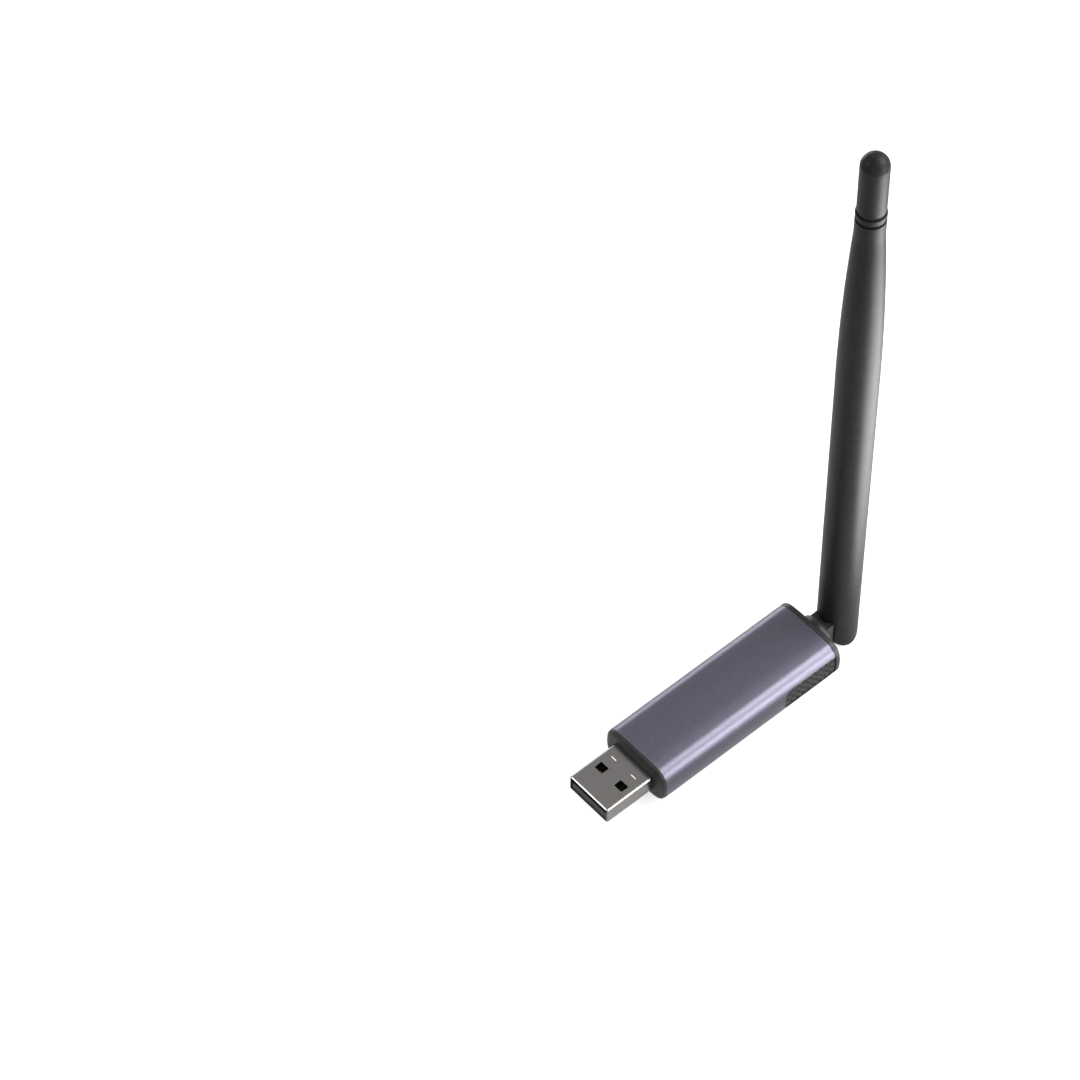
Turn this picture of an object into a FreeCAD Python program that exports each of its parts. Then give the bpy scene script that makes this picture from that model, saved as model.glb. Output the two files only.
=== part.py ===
# A radio stick: a USB-A plug, a metal sleeve with plastic end caps, and a rod antenna
# that folds on a fork hinge and swivels on the rear cap.
# Millimetres. The origin is the middle of the plug's mouth, +X runs towards the antenna,
# +Y is to the left of that direction and +Z is up. The antenna stands upright.
import FreeCAD, Part
import math
import os

Vector = FreeCAD.Vector

# Plug
PLUG_WIDTH = 12.0
PLUG_HEIGHT = 4.5
PLUG_SHEET = 0.3
PLUG_CORNER = 0.55
PLUG_REACH = 12.9
PLUG_TAIL = 7.6
PLUG_HOLE_LENGTH = 2.0
PLUG_HOLE_WIDTH = 2.4
PLUG_HOLE_START = 5.45
PLUG_HOLE_OFFSET = 3.1
PLUG_LANCE_START = 9.8
PLUG_LANCE_LENGTH = 0.22
PLUG_LANCE_WIDTH = 1.7
PLUG_LANCE_DEPTH = 0.12
PLUG_LEG_WIDTH = 1.2
PLUG_LEG_FROM_TAIL = 1.3
PLUG_LEG_PAST_BOARD = 0.5
TONGUE_THICKNESS = 1.84
TONGUE_SETBACK = 0.4
TONGUE_LENGTH = 11.2
INSULATOR_FIT = 0.03
CONTACT_PITCHES = (("vbus", 3.5, 1.1), ("data_minus", 1.0, 2.1), ("data_plus", -1.0, 2.1), ("ground", -3.5, 1.1))
CONTACT_WIDTH = 1.0
CONTACT_THICKNESS = 0.25
CONTACT_PROUD = 0.06
CONTACT_PAST_SHELL = 0.4
CONTACT_FOOT = 1.3
INSULATOR_SETBACK = 0.3

# Body
HALF_WIDTH = 9.3
HALF_HEIGHT = 5.2
TOP_FLAT = 2.5
CROWN_RADIUS = 28.0
CROWN_ANGLE = 7.6
CORNER_ANGLE = 80.0
SLEEVE_START = 13.9
SLEEVE_LENGTH = 49.2
SLEEVE_WALL = 1.0
CAP_FIT = 0.08
LEDGE_THICKNESS = 0.6
LEDGE_REACH = 1.1
WINDOW_LENGTH = 14.9
WINDOW_HALF_HEIGHT = 2.75
WINDOW_CORNER = 1.7
WINDOW_FIT = 0.08

# Front cap
FRONT_FLANGE = 0.4
FRONT_BEVEL_WIDTH = 1.6
FRONT_BEVEL_KNEE = 0.6
FRONT_BEVEL_KNEE_DEPTH = 0.2
FRONT_EDGE_INSET = 0.12
FRONT_SKIRT = 2.6
SKIRT_WALL = 1.1
PLUG_APERTURE_FIT = 0.05
FRONT_WEB = 1.2

# Rear cap
REAR_RIM = 1.4
REAR_RIM_ROUND = 0.5
REAR_WALL = 2.4
REAR_SKIRT = 7.0
TONGUE_DEPTH = 1.9
TONGUE_RECESS = 0.14

# Hinge
SWIVEL_HEIGHT = -0.6
ANTENNA_RADIUS = 4.6
COLLAR_LENGTH = 2.35
COLLAR_ROUND = 1.0
COLLAR_GAP = 0.05
PIN_REACH = 7.8
KNUCKLE_THICKNESS = 5.2
KNUCKLE_RADIUS = 3.6
KNUCKLE_GROOVE = 2.2
KNUCKLE_GROOVE_FLOOR = 1.0
KNUCKLE_GROOVE_LEAD = 0.7
SPINDLE_RADIUS = 2.6
SPINDLE_PAST_WALL = 1.7
SPINDLE_FIT = 0.05
SPINDLE_GROOVE_DEPTH = 0.45
SPINDLE_BORE = 0.9
CLIP_THICKNESS = 0.6
CLIP_FIT = 0.03
CLIP_OUTER_RADIUS = 3.3
CLIP_GAP_WIDTH = 2.8
CLIP_WALL_GAP = 0.15
CLIP_ROOM = 0.3
STOP_TRACK_INNER = 3.05
STOP_TRACK_OUTER = 3.75
STOP_TRACK_DEPTH = 0.8
STOP_TRACK_FIT = 0.06
STOP_BLOCK_ANGLE = 20.0
TRUNNION_RADIUS = 1.3
TRUNNION_FIT = 0.05
TRUNNION_LENGTH = 1.2
TRUNNION_END_GAP = 0.1

# Antenna
FORK_SIDE_GAP = 0.25
FORK_CEILING_GAP = 0.25
FORK_LENGTH = 15.6
FORK_SPIGOT_RADIUS = 3.45
FORK_SPIGOT_LENGTH = 6.0
FORK_BORE = 0.9
FORK_FLARE = 1.6
SEAM_RELIEF = 0.12
STRAIGHT_LENGTH = 84.6
TAPER_LENGTH = 43.5
TAPER_STEPS = 4
NECK_RADIUS = 3.22
NECK_LENGTH = 6.2
TUBE_WALL = 1.0
TUBE_FIT = 0.05
GROOVE_DEPTH = 0.35
GROOVE_WIDTH = 0.8
GROOVE_SPACING = 2.1
TIP_RADIUS = 3.05
TIP_LENGTH = 15.1
TIP_SPIGOT_LENGTH = 5.0

# Antenna inside
COAX_RADIUS = 0.565
COAX_BEND = 4.0
COAX_HINGE_TAIL = 5.2
COAX_JOIN_DEPTH = 1.6
DIPOLE_FEED = 70.6
QUARTER_WAVE = 30.0
DIPOLE_RADIUS = 2.4
DIPOLE_SHEET = 0.3
DIPOLE_TOP_SETBACK = 2.0
RADIATOR_RADIUS = 0.5
SPACER_FROM_END = 4.5
SPACER_LENGTH = 3.0
SPACER_FIT = 0.08

# Circuit board and what it carries
BOARD_THICKNESS = 1.0
BOARD_HALF_WIDTH = 7.2
BOARD_START_BEHIND_CAP = 0.5
BOARD_LENGTH = 40.0
BOARD_NECK_HALF_WIDTH = 6.6
BOARD_NECK_CLEARANCE = 0.7
BOARD_LEDGE_FIT = 0.06
BOARD_END_FIT = 0.2
BOARD_SPINDLE_GAP = 0.5
LEG_HOLE_FIT = 0.1
CAN_LENGTH = 12.5
CAN_WIDTH = 9.6
CAN_HEIGHT = 2.1
CAN_SHEET = 0.2
CAN_CENTRE = (39.5, 1.6)
CHIP_BEVEL = 0.1
RADIO_CHIP = (38.5, 1.9, 6.0, 6.0, 0.85)
BRIDGE_CHIP = (28.6, 3.1, 5.0, 5.0, 0.85)
CRYSTAL = (43.5, 3.4, 2.5, 2.0, 0.6)
INDUCTOR = (3.4, 3.0, 3.0, 1.5)
INDUCTOR_FROM_BOARD_END = 7.6
REGULATOR = (27.4, -4.6)
ESD_ARRAY = (24.3, -0.4)
SOT_BODY = (2.9, 1.6, 1.1)
SOT_STANDOFF = 0.1
SOT_LEAD_SPAN = 2.8
SOT_LEAD_WIDTH = 0.4
SOT_LEAD_PITCH = 0.95
SOT_LEAD_THICKNESS = 0.15
SOT_LEAD_ROOT = 0.1
SOT_LEAD_KNEE = 0.25
CAPACITOR_SIZE = (1.6, 0.8, 0.8)
CAPACITOR_PLACES = (
    (23.6, 5.0), (23.6, -5.6), (31.9, -5.4), (32.0, -3.4), (48.4, 0.2), (51.6, -4.6), (53.6, 4.2), (41.6, 5.5),
)
RESISTOR_SIZE = (1.0, 0.5, 0.35)
RESISTOR_PLACES = (
    (25.6, 1.9), (25.6, 3.0), (32.4, 1.2), (32.4, 2.4), (32.4, 4.8), (42.6, 0.6), (51.8, 0.8), (51.8, -1.2),
)
SOCKET_PLACE = (34.8, -5.1)
SOCKET_BASE = (3.0, 3.0, 0.35)
SOCKET_RADIUS = 1.0
SOCKET_HEIGHT = 1.2
SOCKET_WALL = 0.2
SOCKET_POST = 0.25
COAX_PLUG_RADIUS = 1.35
COAX_PLUG_HEIGHT = 1.35
COAX_PLUG_CRIMP = 1.5
COAX_PLUG_CRIMP_WALL = 0.2
COAX_PLUG_FIT = 0.04
COAX_EXIT_HEIGHT = 1.15
COAX_BEFORE_SPINDLE = 1.0
# Route of the lead after the crimp, as x, y and height over the board
COAX_ROUTE = (
    (43.0, -5.0, 1.25), (49.5, -3.2, 1.45), (55.5, -0.6, 1.63),
)

# How far a cutting shape runs past what it cuts, and how deep a fused piece is sunk
OVERSHOOT = 1.0
ROOT = 0.5

SLEEVE_END = SLEEVE_START + SLEEVE_LENGTH
REAR_FACE = SLEEVE_END + REAR_RIM
PIN_X = REAR_FACE + PIN_REACH
PIN_Z = SWIVEL_HEIGHT
FRONT_FACE = PLUG_REACH
PLUG_END = PLUG_REACH + PLUG_TAIL
BOARD_TOP = -PLUG_HEIGHT / 2
BOARD_BOTTOM = BOARD_TOP - BOARD_THICKNESS
BOARD_START = SLEEVE_START + FRONT_SKIRT + BOARD_START_BEHIND_CAP
BOARD_END = BOARD_START + BOARD_LENGTH
BOARD_NECK_START = SLEEVE_END - WINDOW_LENGTH - BOARD_NECK_CLEARANCE
WINDOW_START = SLEEVE_END - WINDOW_LENGTH
REAR_SKIRT_START = SLEEVE_END - REAR_SKIRT
REAR_WALL_START = REAR_FACE - REAR_WALL
SPINDLE_END = REAR_WALL_START - SPINDLE_PAST_WALL
COAX_JOIN = REAR_FACE - COAX_JOIN_DEPTH
FORK_TOP = PIN_Z + FORK_LENGTH
TAPER_START = PIN_Z + STRAIGHT_LENGTH
TAPER_END = TAPER_START + TAPER_LENGTH
TUBE_END = TAPER_END + NECK_LENGTH
TIP_END = TUBE_END + TIP_LENGTH + GROOVE_WIDTH

os.makedirs("parts", exist_ok=True)


def save(name, shape):
    """Write one node as a STEP file."""
    solid = shape.removeSplitter() if len(shape.Solids) == 1 else shape
    if not solid.isValid():
        print("invalid solid:", name)
    solid.exportStep("parts/" + name + ".step")
    print(name, "solids", len(solid.Solids), "volume", round(solid.Volume, 3))


def block(x0, x1, y0, y1, z0, z1):
    """A box between two corners."""
    return Part.makeBox(x1 - x0, y1 - y0, z1 - z0, Vector(x0, y0, z0))


def centred_block(place, size, z0):
    """A box of a length, width and height, centred on a place and standing on a height."""
    length, width, height = size
    x, y = place
    return block(x - length / 2, x + length / 2, y - width / 2, y + width / 2, z0, z0 + height)


def rod_x(radius, x0, x1, z=0.0):
    return Part.makeCylinder(radius, x1 - x0, Vector(x0, 0, z), Vector(1, 0, 0))


def rod_y(radius, y0, y1, x=0.0, z=0.0):
    return Part.makeCylinder(radius, y1 - y0, Vector(x, y0, z), Vector(0, 1, 0))


def rod_z(radius, z0, z1, x=0.0, y=0.0):
    return Part.makeCylinder(radius, z1 - z0, Vector(x, y, z0))


def fillet_where(shape, radius, chosen):
    """Round the edges that a test on the edge picks."""
    return shape.makeFillet(radius, [edge for edge in shape.Edges if chosen(edge)])


def corner_steps(radius):
    """Three points of a quarter round, as depth from the end and inset from the side."""
    knee = radius * (1 - math.sqrt(0.5))
    return ((radius, 0.0), (knee, knee), (0.0, radius))


def mirrored_y(shape):
    return shape.mirror(Vector(0, 0, 0), Vector(0, 1, 0))


# The body's section: a flat, a slight crown, a corner and a bulged side, all tangent

def section_radii():
    """Corner and side radii that bring the outline to the body's width and height."""
    a = math.radians(CROWN_ANGLE)
    b = math.radians(CORNER_ANGLE)
    across = HALF_WIDTH - TOP_FLAT - CROWN_RADIUS * math.sin(a)
    down = HALF_HEIGHT - CROWN_RADIUS * (1 - math.cos(a))
    corner_across, side_across = math.sin(b) - math.sin(a), 1 - math.sin(b)
    corner_down, side_down = math.cos(a) - math.cos(b), math.cos(b)
    spread = corner_across * side_down - side_across * corner_down
    corner = (across * side_down - side_across * down) / spread
    side = (corner_across * down - across * corner_down) / spread
    return corner, side


def section_wire(x, inset=0.0):
    """The body's outline in the plane at x, moved inwards by an inset."""
    corner, side = section_radii()
    a = math.radians(CROWN_ANGLE)
    b = math.radians(CORNER_ANGLE)
    crown_centre = (TOP_FLAT, HALF_HEIGHT - CROWN_RADIUS)
    reach = CROWN_RADIUS - corner
    corner_centre = (crown_centre[0] + reach * math.sin(a), crown_centre[1] + reach * math.cos(a))
    side_centre = (HALF_WIDTH - side, 0.0)
    pieces = (
        (crown_centre, CROWN_RADIUS - inset, 0.0, a),
        (corner_centre, corner - inset, a, b),
    )

    def point(centre, radius, angle, flip_y, flip_z):
        y = centre[0] + radius * math.sin(angle)
        z = centre[1] + radius * math.cos(angle)
        return Vector(x, flip_y * y, flip_z * z)

    edges = []
    for flip_y in (1, -1):
        for flip_z in (1, -1):
            for centre, radius, start, end in pieces:
                marks = [point(centre, radius, t, flip_y, flip_z) for t in (start, (start + end) / 2, end)]
                edges.append(Part.Arc(*marks).toShape())
        turns = (b, math.pi / 2, math.pi - b)
        marks = [point(side_centre, side - inset, t, flip_y, 1) for t in turns]
        edges.append(Part.Arc(*marks).toShape())
    for flip_z in (1, -1):
        z = flip_z * (HALF_HEIGHT - inset)
        edges.append(Part.LineSegment(Vector(x, -TOP_FLAT, z), Vector(x, TOP_FLAT, z)).toShape())
    return Part.Wire(Part.__sortEdges__(edges))


def section_bar(x0, x1, inset=0.0):
    """A solid bar with the body's section."""
    return Part.Face(section_wire(x0, inset)).extrude(Vector(x1 - x0, 0, 0))


def side_slot(x0, x1, y0, y1, half_height, corner):
    """A bar along Y whose profile is a slot with two round corners at its front."""
    bar = block(x0, x1, y0, y1, -half_height, half_height)
    return fillet_where(bar, corner, lambda e: abs(e.BoundBox.XMax - x0) < 1e-6 and e.BoundBox.YLength > 1e-3)


# Housing

def housing_sleeve():
    """The extruded metal sleeve with two board ledges inside and a notch in each side."""
    shell = section_bar(SLEEVE_START, SLEEVE_END).cut(section_bar(SLEEVE_START, SLEEVE_END, SLEEVE_WALL))
    ledge_z = BOARD_TOP + BOARD_LEDGE_FIT
    ledge_tip = BOARD_HALF_WIDTH - LEDGE_REACH / 2
    bar = block(SLEEVE_START, SLEEVE_END, ledge_tip, HALF_WIDTH, ledge_z, ledge_z + LEDGE_THICKNESS)
    bar = bar.common(section_bar(SLEEVE_START, SLEEVE_END, SLEEVE_WALL / 2))
    shell = shell.fuse([bar, mirrored_y(bar)])
    cutter = side_slot(
        WINDOW_START, SLEEVE_END + OVERSHOOT, ledge_tip - OVERSHOOT, HALF_WIDTH + OVERSHOOT,
        WINDOW_HALF_HEIGHT, WINDOW_CORNER
    )
    return shell.cut([cutter, mirrored_y(cutter)])


def ledge_room(x0, x1):
    """The space to leave round the sleeve's ledges."""
    z0 = BOARD_TOP + BOARD_LEDGE_FIT - CAP_FIT
    z1 = z0 + LEDGE_THICKNESS + 2 * CAP_FIT
    room = block(x0, x1, BOARD_HALF_WIDTH - LEDGE_REACH / 2 - CAP_FIT, HALF_WIDTH, z0, z1)
    return room.fuse(mirrored_y(room))


def front_cap():
    """The plastic bezel: a face with a two-step bevel, a thin rim and a skirt inside the sleeve."""
    rim_start = SLEEVE_START - FRONT_FLANGE
    rim = section_bar(rim_start, SLEEVE_START, FRONT_EDGE_INSET)
    bevel = [
        section_wire(rim_start, FRONT_EDGE_INSET),
        section_wire(FRONT_FACE + FRONT_BEVEL_KNEE_DEPTH, FRONT_BEVEL_KNEE),
        section_wire(FRONT_FACE, FRONT_BEVEL_WIDTH),
    ]
    face = Part.makeLoft(bevel, True, True)
    inner = SLEEVE_WALL + CAP_FIT
    skirt_end = SLEEVE_START + FRONT_SKIRT
    skirt = section_bar(SLEEVE_START, skirt_end, inner)
    hollow = section_bar(SLEEVE_START + FRONT_WEB, skirt_end, inner + SKIRT_WALL)
    cap = rim.fuse([face, skirt]).cut([hollow, ledge_room(SLEEVE_START, skirt_end)])
    return cap.cut(plug_bar(FRONT_FACE - OVERSHOOT, skirt_end, -PLUG_APERTURE_FIT))


def rear_cap():
    """The plastic end: a rim, a wall with the swivel bore, a skirt and two recessed side tongues."""
    rim = section_bar(SLEEVE_END, REAR_FACE - REAR_RIM_ROUND)
    edge = [section_wire(REAR_FACE - depth, inset) for depth, inset in corner_steps(REAR_RIM_ROUND)]
    rim = rim.fuse(Part.makeLoft(edge, True, True))
    inner = SLEEVE_WALL + CAP_FIT
    skirt = section_bar(REAR_SKIRT_START, SLEEVE_END, inner)
    hollow = section_bar(REAR_SKIRT_START, REAR_WALL_START, inner + SKIRT_WALL)
    skirt = skirt.cut([hollow, clip_room(), board_seat()])
    slot = side_slot(
        WINDOW_START + WINDOW_FIT, SLEEVE_END, HALF_WIDTH - TONGUE_DEPTH, HALF_WIDTH + OVERSHOOT,
        WINDOW_HALF_HEIGHT - WINDOW_FIT, WINDOW_CORNER - WINDOW_FIT
    )
    tongue = slot.common(section_bar(WINDOW_START, SLEEVE_END, TONGUE_RECESS))
    cap = rim.fuse([skirt, tongue, mirrored_y(tongue)])
    bore = rod_x(
        SPINDLE_RADIUS + SPINDLE_FIT, REAR_WALL_START - OVERSHOOT, REAR_FACE + OVERSHOOT, SWIVEL_HEIGHT
    )
    return cap.cut([bore, stop_track()])


def clip_room():
    """The gap in the skirt's lower wall under the retaining clip."""
    half = CLIP_OUTER_RADIUS + CLIP_ROOM
    return block(REAR_SKIRT_START, REAR_WALL_START, -half, half, -HALF_HEIGHT, SWIVEL_HEIGHT)


def board_seat():
    """The rebate in the skirt that the board's end sits in."""
    half = BOARD_NECK_HALF_WIDTH + BOARD_LEDGE_FIT
    end = BOARD_END + BOARD_END_FIT
    return block(BOARD_NECK_START, end, -half, half, BOARD_BOTTOM - BOARD_LEDGE_FIT, BOARD_TOP + BOARD_LEDGE_FIT)


def stop_track():
    """The round track in the rear face, open except for the stop block at its top."""
    x0 = REAR_FACE - STOP_TRACK_DEPTH
    ring = rod_x(STOP_TRACK_OUTER, x0, REAR_FACE + OVERSHOOT, SWIVEL_HEIGHT)
    ring = ring.cut(rod_x(STOP_TRACK_INNER, x0, REAR_FACE + OVERSHOOT, SWIVEL_HEIGHT))
    half = math.radians(STOP_BLOCK_ANGLE / 2)
    far = STOP_TRACK_OUTER * 2
    corners = [
        Vector(x0, 0, SWIVEL_HEIGHT),
        Vector(x0, far * math.sin(half), SWIVEL_HEIGHT + far * math.cos(half)),
        Vector(x0, -far * math.sin(half), SWIVEL_HEIGHT + far * math.cos(half)),
    ]
    wedge = Part.Face(Part.makePolygon(corners + corners[:1]))
    return ring.cut(wedge.extrude(Vector(STOP_TRACK_DEPTH + OVERSHOOT, 0, 0)))


# Plug

def plug_bar(x0, x1, inset):
    """A bar with the plug's section, moved inwards by an inset."""
    y = PLUG_WIDTH / 2 - inset
    z = PLUG_HEIGHT / 2 - inset
    bar = block(x0, x1, -y, y, -z, z)
    return fillet_where(bar, PLUG_CORNER - inset, lambda e: e.BoundBox.XLength > 1e-3)


def usb_shell():
    """The folded metal shell with its latch holes, pressed lances and board legs."""
    shell = plug_bar(0, PLUG_END, 0).cut(plug_bar(-OVERSHOOT, PLUG_END + OVERSHOOT, PLUG_SHEET))
    cuts = []
    for side in (1, -1):
        y = side * PLUG_HOLE_OFFSET
        hole = (PLUG_HOLE_LENGTH, PLUG_HOLE_WIDTH, PLUG_HEIGHT + 2 * OVERSHOOT)
        hole_middle = PLUG_HOLE_START + PLUG_HOLE_LENGTH / 2
        cuts.append(centred_block((hole_middle, y), hole, -PLUG_HEIGHT / 2 - OVERSHOOT))
        lance = (PLUG_LANCE_LENGTH, PLUG_LANCE_WIDTH, OVERSHOOT)
        cuts.append(centred_block((PLUG_LANCE_START, y), lance, PLUG_HEIGHT / 2 - PLUG_LANCE_DEPTH))
    shell = shell.cut(cuts)
    legs = []
    leg_x = PLUG_END - PLUG_LEG_FROM_TAIL
    for side in (1, -1):
        y = side * (PLUG_WIDTH / 2 - PLUG_SHEET / 2)
        size = (PLUG_LEG_WIDTH, PLUG_SHEET, PLUG_HEIGHT / 2 + BOARD_THICKNESS + PLUG_LEG_PAST_BOARD)
        legs.append(centred_block((leg_x, y), size, BOARD_BOTTOM - PLUG_LEG_PAST_BOARD))
    return shell.fuse(legs)


def contact_bar(y, start, grow=0.0):
    """One contact: a blade on the tongue, a run through the base and a foot on the board."""
    top = -PLUG_HEIGHT / 2 + PLUG_SHEET + TONGUE_THICKNESS + CONTACT_PROUD
    low = top - CONTACT_THICKNESS
    half = CONTACT_WIDTH / 2 + grow
    back = PLUG_END + CONTACT_PAST_SHELL
    blade = block(start - grow, back, y - half, y + half, low - grow, top + grow)
    if grow:
        return blade
    drop = block(back - CONTACT_THICKNESS, back, y - half, y + half, BOARD_TOP, top)
    foot = block(back - CONTACT_THICKNESS, back + CONTACT_FOOT, y - half, y + half, BOARD_TOP,
                 BOARD_TOP + CONTACT_THICKNESS)
    return blade.fuse([drop, foot])


def usb_insulator():
    """The moulded tongue and base that hold the contacts."""
    base = plug_bar(TONGUE_LENGTH, PLUG_END - INSULATOR_SETBACK, PLUG_SHEET + INSULATOR_FIT)
    tongue = plug_bar(TONGUE_SETBACK, TONGUE_LENGTH + ROOT, PLUG_SHEET + INSULATOR_FIT)
    tongue_top = -PLUG_HEIGHT / 2 + PLUG_SHEET + TONGUE_THICKNESS
    room = block(-OVERSHOOT, TONGUE_LENGTH, -PLUG_WIDTH, PLUG_WIDTH, tongue_top, PLUG_HEIGHT)
    body = base.fuse(tongue.cut(room))
    slots = [contact_bar(y, start, INSULATOR_FIT) for _, y, start in CONTACT_PITCHES]
    return body.cut(slots)


# Circuit board

def circuit_board():
    """The board, narrower between the side tongues, with slots for the plug's legs and the spindle."""
    wide = block(BOARD_START, BOARD_NECK_START, -BOARD_HALF_WIDTH, BOARD_HALF_WIDTH, BOARD_BOTTOM, BOARD_TOP)
    half = BOARD_NECK_HALF_WIDTH
    board = wide.fuse(block(BOARD_NECK_START, BOARD_END, -half, half, BOARD_BOTTOM, BOARD_TOP))
    leg_x = PLUG_END - PLUG_LEG_FROM_TAIL
    low = BOARD_BOTTOM - OVERSHOOT
    depth = BOARD_THICKNESS + 2 * OVERSHOOT
    cuts = []
    for side in (1, -1):
        y = side * (PLUG_WIDTH / 2 - PLUG_SHEET / 2)
        size = (PLUG_LEG_WIDTH + 2 * LEG_HOLE_FIT, PLUG_SHEET + 2 * LEG_HOLE_FIT, depth)
        cuts.append(centred_block((leg_x, y), size, low))
    clear = CLIP_OUTER_RADIUS + CLIP_ROOM
    cuts.append(block(SPINDLE_END - BOARD_SPINDLE_GAP, REAR_FACE, -clear, clear, low, low + depth))
    return board.cut(cuts)


def chip(x, y, length, width, height):
    """A flat chip with a bevelled top."""
    body = centred_block((x, y), (length, width, height), BOARD_TOP)
    top = BOARD_TOP + height
    return body.makeChamfer(CHIP_BEVEL, [e for e in body.Edges if e.BoundBox.ZMin > top - 1e-6])


def shield_can():
    """The thin metal can over the radio chip, open to the board."""
    size = (CAN_LENGTH, CAN_WIDTH, CAN_HEIGHT)
    outer = centred_block(CAN_CENTRE, size, BOARD_TOP)
    top = BOARD_TOP + CAN_HEIGHT
    outer = outer.makeChamfer(CAN_SHEET, [e for e in outer.Edges if e.BoundBox.ZMax > top - 1e-6])
    inner = (CAN_LENGTH - 2 * CAN_SHEET, CAN_WIDTH - 2 * CAN_SHEET, CAN_HEIGHT - CAN_SHEET + OVERSHOOT)
    return outer.cut(centred_block(CAN_CENTRE, inner, BOARD_TOP - OVERSHOOT))


def small_outline_part(place, leads_left, leads_right):
    """A small moulded package with gull-wing leads on two sides."""
    length, width, height = SOT_BODY
    x, y = place
    body = centred_block(place, (length, width, height - SOT_STANDOFF), BOARD_TOP + SOT_STANDOFF)
    leads = []
    middle = BOARD_TOP + height / 2
    for side, columns in ((1, leads_left), (-1, leads_right)):
        for column in columns:
            lead_x = x + column * SOT_LEAD_PITCH
            tip = side * SOT_LEAD_SPAN / 2
            knee = side * (width / 2 + SOT_LEAD_KNEE)
            runs = (
                (side * (width / 2 - SOT_LEAD_ROOT), knee, middle, middle + SOT_LEAD_THICKNESS),
                (knee - side * SOT_LEAD_THICKNESS, knee, BOARD_TOP, middle + SOT_LEAD_THICKNESS),
                (knee - side * SOT_LEAD_THICKNESS, tip, BOARD_TOP, BOARD_TOP + SOT_LEAD_THICKNESS),
            )
            for y0, y1, z0, z1 in runs:
                leads.append(block(
                    lead_x - SOT_LEAD_WIDTH / 2, lead_x + SOT_LEAD_WIDTH / 2,
                    y + min(y0, y1), y + max(y0, y1), z0, z1
                ))
    return body.fuse(leads)


def scattered(places, size):
    """Separate small blocks on the board."""
    return Part.makeCompound([centred_block(place, size, BOARD_TOP) for place in places])


def coax_receptacle():
    """The small round socket on the board that takes the lead."""
    x, y = SOCKET_PLACE
    base = centred_block(SOCKET_PLACE, SOCKET_BASE, BOARD_TOP)
    top = BOARD_TOP + SOCKET_HEIGHT
    wall = rod_z(SOCKET_RADIUS, BOARD_TOP, top, x, y)
    room = rod_z(SOCKET_RADIUS - SOCKET_WALL, BOARD_TOP + SOCKET_BASE[2], top + OVERSHOOT, x, y)
    post = rod_z(SOCKET_POST, BOARD_TOP, top - SOCKET_WALL, x, y)
    return base.fuse(wall).cut(room).fuse(post)


def coax_plug():
    """The round cap that snaps on the socket, with the crimp that holds the lead."""
    x, y = SOCKET_PLACE
    low = BOARD_TOP + SOCKET_BASE[2] + COAX_PLUG_FIT
    top = low + COAX_PLUG_HEIGHT
    cap = rod_z(COAX_PLUG_RADIUS, low, top, x, y)
    crimp_z = BOARD_TOP + COAX_EXIT_HEIGHT
    crimp_radius = COAX_RADIUS + COAX_PLUG_CRIMP_WALL
    crimp_end = x + COAX_PLUG_RADIUS + COAX_PLUG_CRIMP
    crimp = Part.makeCylinder(crimp_radius, crimp_end - x, Vector(x, y, crimp_z), Vector(1, 0, 0))
    ceiling = BOARD_TOP + SOCKET_HEIGHT + COAX_PLUG_FIT
    room = rod_z(SOCKET_RADIUS + COAX_PLUG_FIT, low - OVERSHOOT, ceiling, x, y)
    return cap.fuse(crimp).cut(room)


# Coaxial lead

def round_route(points, radius):
    """A round tube along straight runs joined by tangent arcs, each as large as its runs allow."""
    edges = []
    start = points[0]
    length = 0.0
    for before, corner, after in zip(points, points[1:], points[2:]):
        back = before.sub(corner)
        ahead = after.sub(corner)
        turn = math.pi - back.getAngle(ahead)
        cut = 0.45 * min(back.Length, ahead.Length)
        bend = cut / math.tan(turn / 2)
        back.normalize()
        ahead.normalize()
        arc_start = corner.add(Vector(back).multiply(cut))
        arc_end = corner.add(Vector(ahead).multiply(cut))
        inward = back.add(ahead)
        inward.normalize()
        to_centre = bend / math.cos(turn / 2)
        middle = corner.add(Vector(inward).multiply(to_centre - bend))
        edges.append(Part.LineSegment(start, arc_start).toShape())
        edges.append(Part.Arc(arc_start, middle, arc_end).toShape())
        length += edges[-2].Length + edges[-1].Length
        print("  bend radius", round(bend, 2))
        start = arc_end
    edges.append(Part.LineSegment(start, points[-1]).toShape())
    length += edges[-1].Length
    path = Part.Wire(edges)
    heading = points[1].sub(points[0])
    section = Part.Wire([Part.makeCircle(radius, points[0], heading)])
    tube = path.makePipeShell([section], True, True)
    print("  length", round(length, 2), "volume ratio", round(tube.Volume / (length * math.pi * radius ** 2), 4))
    return tube


def coax_lead():
    """The lead from the board's plug to the swivel's axis."""
    x, y = SOCKET_PLACE
    first = Vector(x + COAX_PLUG_RADIUS + COAX_PLUG_CRIMP, y, BOARD_TOP + COAX_EXIT_HEIGHT)
    middle = [Vector(px, py, BOARD_TOP + height) for px, py, height in COAX_ROUTE]
    last = [
        Vector(SPINDLE_END - COAX_BEFORE_SPINDLE, 0, SWIVEL_HEIGHT),
        Vector(COAX_JOIN, 0, SWIVEL_HEIGHT),
    ]
    return round_route([first] + middle + last, COAX_RADIUS)


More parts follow.
